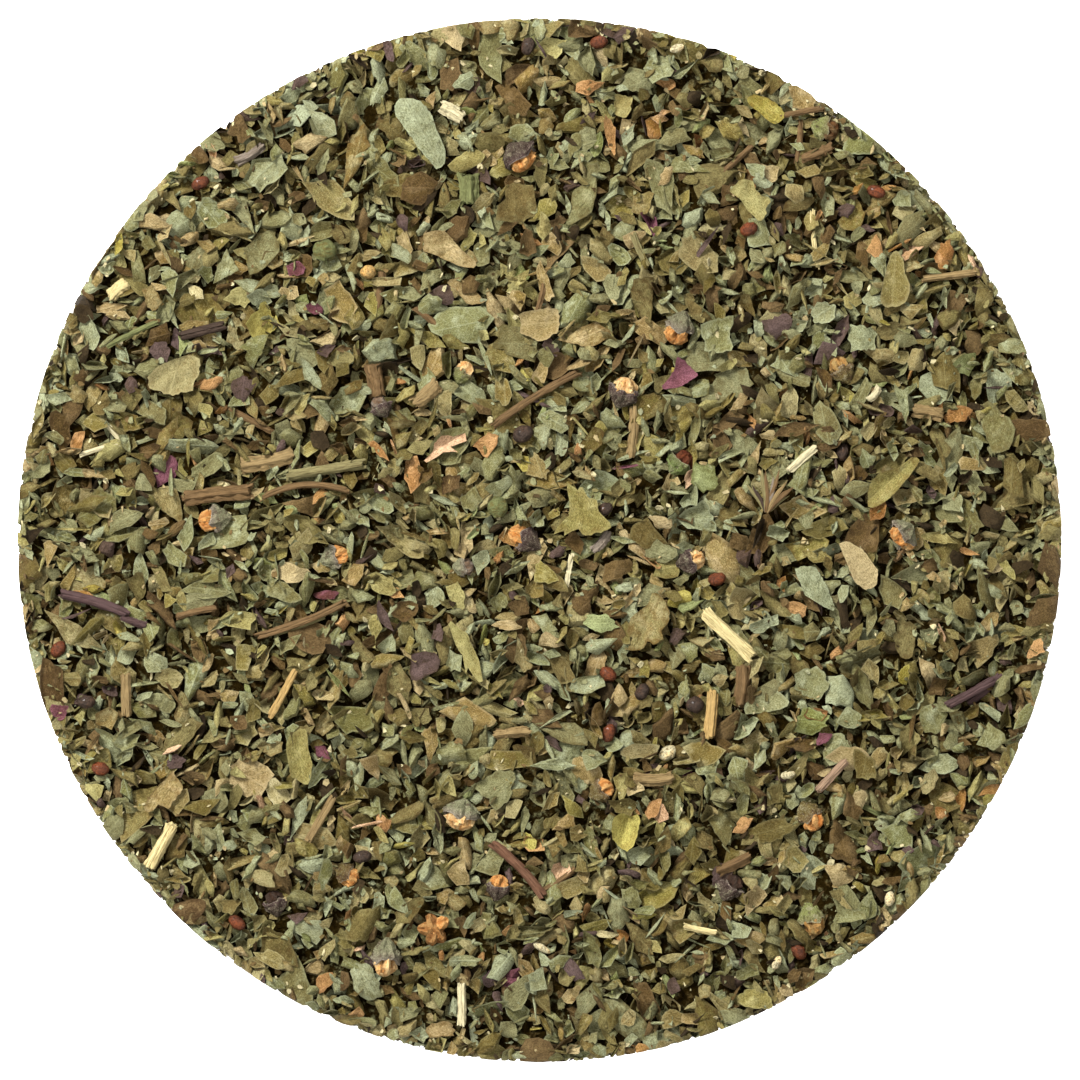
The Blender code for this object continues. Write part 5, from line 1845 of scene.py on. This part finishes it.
class BASIL_OT_core(bpy.types.Operator):
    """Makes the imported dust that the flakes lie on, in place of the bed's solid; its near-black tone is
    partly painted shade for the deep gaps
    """

    bl_idname = "basil.core"
    bl_label = "Packed dust"

    def execute(self, context):
        sizes = context.scene.basil_sizes
        rng = np.random.default_rng(SEED + 1)
        radius = (sizes.radius - sizes.wall_depth) / MM
        top = sizes.height / MM - sizes.core_depth / MM
        floor, corner, hole, sides = 0.45, 1.6, 2.0, 128
        under = [(r, floor) for r in np.linspace(hole, radius - corner, 12)]
        levels = np.linspace(floor + 0.4, top - corner + 0.4, 6)
        wall = [(radius - (0.9 if level < 1.0 else 0.0), level) for level in levels]
        dome = sizes.dome / MM
        over = [(r, top - dome * (r / radius) ** 2) for r in np.linspace(radius - corner, hole, 26)]
        profile = np.array(under + wall + over)
        calm = np.repeat((0.3, 0.4, 1.0), (len(under), len(wall), len(over)))
        lump = 0.28 * rng.standard_normal((len(profile), sides)) * calm[:, None]
        radii = np.minimum(profile[:, :1] + lump, radius + 0.15)
        heights = np.maximum(profile[:, 1:] + lump, 0.25)
        turn = TAU * np.arange(sides) / sides
        rings = np.stack([radii * np.cos(turn), radii * np.sin(turn), heights], axis=-1)
        made = Made()
        spot = rings.reshape(-1, 3)
        add_tube(made, WHOLE_TILE, rings, spot, (0.5, 0.5, 0.0), np.zeros(len(spot)), (0.1, 0.1, 0.1))
        belongs(made.finish("packed_dust", dust_and_gap_shade_finish()), "leaf_flakes", "herb_bed")
        return {"FINISHED"}


class BASIL_OT_flakes(bpy.types.Operator):
    """Makes the leaf flakes of the top and the side, one piece for each kind of leaf"""

    bl_idname = "basil.flakes"
    bl_label = "Leaf flakes"

    def execute(self, context):
        bed = laid_bed()
        parts = [(flakes, shown_flakes(flakes, SHOWN_TOP)) for flakes in bed["top"]]
        parts += [(flakes, shown_flakes(flakes, SHOWN_SIDE)) for flakes in bed["side"]]
        for number, kind in enumerate(KINDS):
            chosen = [(flakes, shown[flakes.kind[shown] == number]) for flakes, shown in parts]
            make_flakes(f"flakes_{kind.name}", leaf_finish(kind.name), f"leaf_{kind.slot}", chosen)
        return {"FINISHED"}


class BASIL_OT_underside(bpy.types.Operator):
    """Makes the flakes pressed flat on the underside"""

    bl_idname = "basil.underside"
    bl_label = "Underside flakes"

    def execute(self, context):
        flakes = laid_bed()["under"]
        shown = shown_flakes(flakes, SHOWN_UNDER)
        for name, odd in (("moss", 0), ("olive", 1)):
            chosen = [(flakes, shown[shown % 2 == odd])]
            make_flakes(f"underside_{name}", leaf_finish(name), "leaf_flakes", chosen)
        return {"FINISHED"}


class BASIL_OT_crumbs(bpy.types.Operator):
    """Makes the crumbs between and on the flakes"""

    bl_idname = "basil.crumbs"
    bl_label = "Crumbs"

    def execute(self, context):
        crumbs = laid_bed()["crumbs"]
        make_flakes("crumbs", crumb_finish(), "leaf_flakes", [(crumbs, shown_flakes(crumbs, SHOWN_CRUMB))])
        return {"FINISHED"}


class BASIL_OT_leaves(bpy.types.Operator):
    """Makes the larger leaf pieces and petals in place of their solids"""

    bl_idname = "basil.leaves"
    bl_label = "Leaf pieces"

    def execute(self, context):
        pieces = laid_bed()["pieces"]
        for index, piece in enumerate(LEAF_PIECES):
            slot = KINDS[KIND_NAMES.index(piece.kind)].slot
            chosen = [(pieces, np.array([index]))]
            make_flakes(f"dried_{piece.node}", leaf_finish(piece.kind), f"leaf_{slot}", chosen, piece.node)
        return {"FINISHED"}


class BASIL_OT_stems(bpy.types.Operator):
    """Makes the broken stems in place of their solids"""

    bl_idname = "basil.stems"
    bl_label = "Broken stems"

    def execute(self, context):
        for stem, rng, stand, tone in own_pieces(STEM_PIECES, 100):
            made = Made()
            add_stem(made, square_tiles(stem.strands), rng, stand, tone, stem.bow, stem.strands, stem.fray)
            belongs(made.finish(f"dried_{stem.node}", fibre_finish()), stem.slot, stem.node)
        return {"FINISHED"}


class BASIL_OT_cups(bpy.types.Operator):
    """Makes the flower cups in place of their solids"""

    bl_idname = "basil.cups"
    bl_label = "Flower cups"

    def execute(self, context):
        for cup, rng, stand, tone in own_pieces(CUP_PIECES, 200):
            made = Made()
            if cup.node == "cup_whorl":
                add_whorl(made, square_tiles(WHORL_BRACTS), rng, stand)
            elif cup.node == "cup_ochre":
                add_corolla(made, square_tiles(COROLLA_LOBES), rng, stand, tone)
            else:
                add_cup(made, square_tiles(CUP_PARTS), rng, stand, tone, dry_colour(cup.filling))
            finish = fibre_finish() if cup.node == "cup_whorl" else husk_finish()
            belongs(made.finish(f"dried_{cup.node}", finish), cup.slot, cup.node)
        return {"FINISHED"}


class BASIL_OT_grains(bpy.types.Operator):
    """Makes the round buds and the seeds in place of their solids"""

    bl_idname = "basil.grains"
    bl_label = "Buds and seeds"

    def execute(self, context):
        for grain, rng, stand, tone in own_pieces(GRAIN_PIECES, 300):
            made = Made()
            bud = grain.node.startswith("bud")
            add_grain(made, WHOLE_TILE, rng, stand, tone, GREEN_BUD_LUMPS if bud else SEED_LUMPS)
            material = husk_finish() if bud else seed_finish()
            belongs(made.finish(f"dried_{grain.node}", material), grain.slot, grain.node)
        return {"FINISHED"}


class BASIL_OT_loose(bpy.types.Operator):
    """Makes the loose stems, cups and seeds that lie on the flakes"""

    bl_idname = "basil.loose"
    bl_label = "Loose pieces"

    def execute(self, context):
        heap = laid_bed()["top"][0].heap
        rng = np.random.default_rng(SEED + 400)
        strands = 5
        for name in sorted({row.colour for row in LOOSE_STEMS}):
            rows = [row for row in LOOSE_STEMS if row.colour == name]
            made, tiles = Made(), iter(square_tiles(strands * len(rows)))
            for row in rows:
                own = [next(tiles) for _ in range(strands)]
                stand = stand_on(heap, row)
                add_stem(made, own, rng, stand, dry_colour(name), rng.uniform(-0.3, 0.3), strands, 0.22)
            slot = f"stem_{name}" if name not in ("green", "olive") else "stem_brown"
            belongs(made.finish(f"loose_stems_{name}", fibre_finish()), slot)
        made, tiles = Made(), iter(square_tiles(CUP_PARTS * len(LOOSE_CUPS)))
        for row in LOOSE_CUPS:
            own = [next(tiles) for _ in range(CUP_PARTS)]
            add_cup(made, own, rng, stand_on(heap, row), dry_colour(row.colour), dry_colour(row.filling))
        belongs(made.finish("loose_cups", husk_finish()), "cup_purple")
        made, tiles = Made(), square_tiles(len(LOOSE_SEEDS))
        for row, tile in zip(LOOSE_SEEDS, tiles):
            add_grain(made, tile, rng, stand_on(heap, row), dry_colour(row.colour), SEED_LUMPS)
        belongs(made.finish("loose_seeds", seed_finish()), "grain_red_brown")
        return {"FINISHED"}


# The stage, in metres, and the camera's sensor in mm
FLOOR_SIDE = 6.0
FLOOR_GAP = 0.0003
SOFTBOX_PLACE = (-0.36, 0.42, 0.60)
SENSOR_WIDTH = 36.0


class BASIL_OT_stage(bpy.types.Operator):
    """Makes the pale floor, the soft lights and the camera that looks straight down"""

    bl_idname = "basil.stage"
    bl_label = "Stage"

    def execute(self, context):
        scene = context.scene
        stage = scene.basil_stage
        bpy.ops.mesh.primitive_plane_add(size=FLOOR_SIDE, location=(0.0, 0.0, -FLOOR_GAP))
        floor = context.active_object
        floor.name = "pale_floor"
        floor.data.materials.append(floor_finish())
        floor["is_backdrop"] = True
        world = bpy.data.worlds.new("soft_sky")
        world.use_nodes = True
        sky = world.node_tree.nodes["Background"]
        sky.inputs["Color"].default_value = (1.0, 1.0, 1.0, 1.0)
        sky.inputs["Strength"].default_value = stage.sky
        scene.world = world
        box = bpy.data.lights.new("softbox", "AREA")
        box.size = stage.key_size
        box.energy = stage.key
        light = bpy.data.objects.new("softbox", box)
        light.location = SOFTBOX_PLACE
        light.rotation_mode = "QUATERNION"
        light.rotation_quaternion = (-light.location).to_track_quat("-Z", "Y")
        scene.collection.objects.link(light)
        lens = bpy.data.cameras.new("camera")
        lens.sensor_width = SENSOR_WIDTH
        view = PHOTO_SIDE / PIXELS_PER_MM * MM
        top = scene.basil_sizes.height - 0.5 * scene.basil_sizes.dome
        lens.lens = lens.sensor_width * (stage.camera_height - top) / view
        lens.clip_start, lens.clip_end = 0.01, 20.0
        camera = bpy.data.objects.new("camera", lens)
        middle = to_photo(PHOTO_SIDE / 2.0, PHOTO_SIDE / 2.0) * MM
        camera.location = (middle.real, middle.imag, stage.camera_height)
        scene.collection.objects.link(camera)
        scene.camera = camera
        scene.view_settings.view_transform = "Standard"
        return {"FINISHED"}


class BASIL_PT_panel(bpy.types.Panel):
    """Lists the steps that make the bed"""

    bl_label = "Dried basil bed"
    bl_idname = "BASIL_PT_panel"
    bl_space_type = "VIEW_3D"
    bl_region_type = "UI"
    bl_category = "Basil"

    def draw(self, context):
        for operator in OPERATORS:
            self.layout.operator(operator.bl_idname)


OPERATORS = (
    BASIL_OT_stage,
    BASIL_OT_core,
    BASIL_OT_flakes,
    BASIL_OT_underside,
    BASIL_OT_crumbs,
    BASIL_OT_leaves,
    BASIL_OT_stems,
    BASIL_OT_cups,
    BASIL_OT_grains,
    BASIL_OT_loose,
)
GROUPS = {
    "basil_sizes": BedSizes,
    "basil_leaf_colours": LeafColours,
    "basil_dry_colours": DryColours,
    "basil_stage": StageSizes,
}


def register():
    for name, group in GROUPS.items():
        bpy.utils.register_class(group)
        setattr(bpy.types.Scene, name, bpy.props.PointerProperty(type=group))
    for cls in (*OPERATORS, BASIL_PT_panel):
        bpy.utils.register_class(cls)


def unregister():
    for cls in reversed((*OPERATORS, BASIL_PT_panel)):
        bpy.utils.unregister_class(cls)
    for name, group in GROUPS.items():
        delattr(bpy.types.Scene, name)
        bpy.utils.unregister_class(group)


def write_sizes():
    """Works out the box of the solids and the box of what is shown."""
    boxes = {"cad": CAD_BOX, "visual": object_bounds()}
    {name: [list(corner) for corner in box] for name, box in boxes.items()}


def main():
    register()
    for operator in OPERATORS:
        group, name = operator.bl_idname.split(".")
        getattr(getattr(bpy.ops, group), name)()
    write_sizes()


if __name__ == "__main__":
    main()
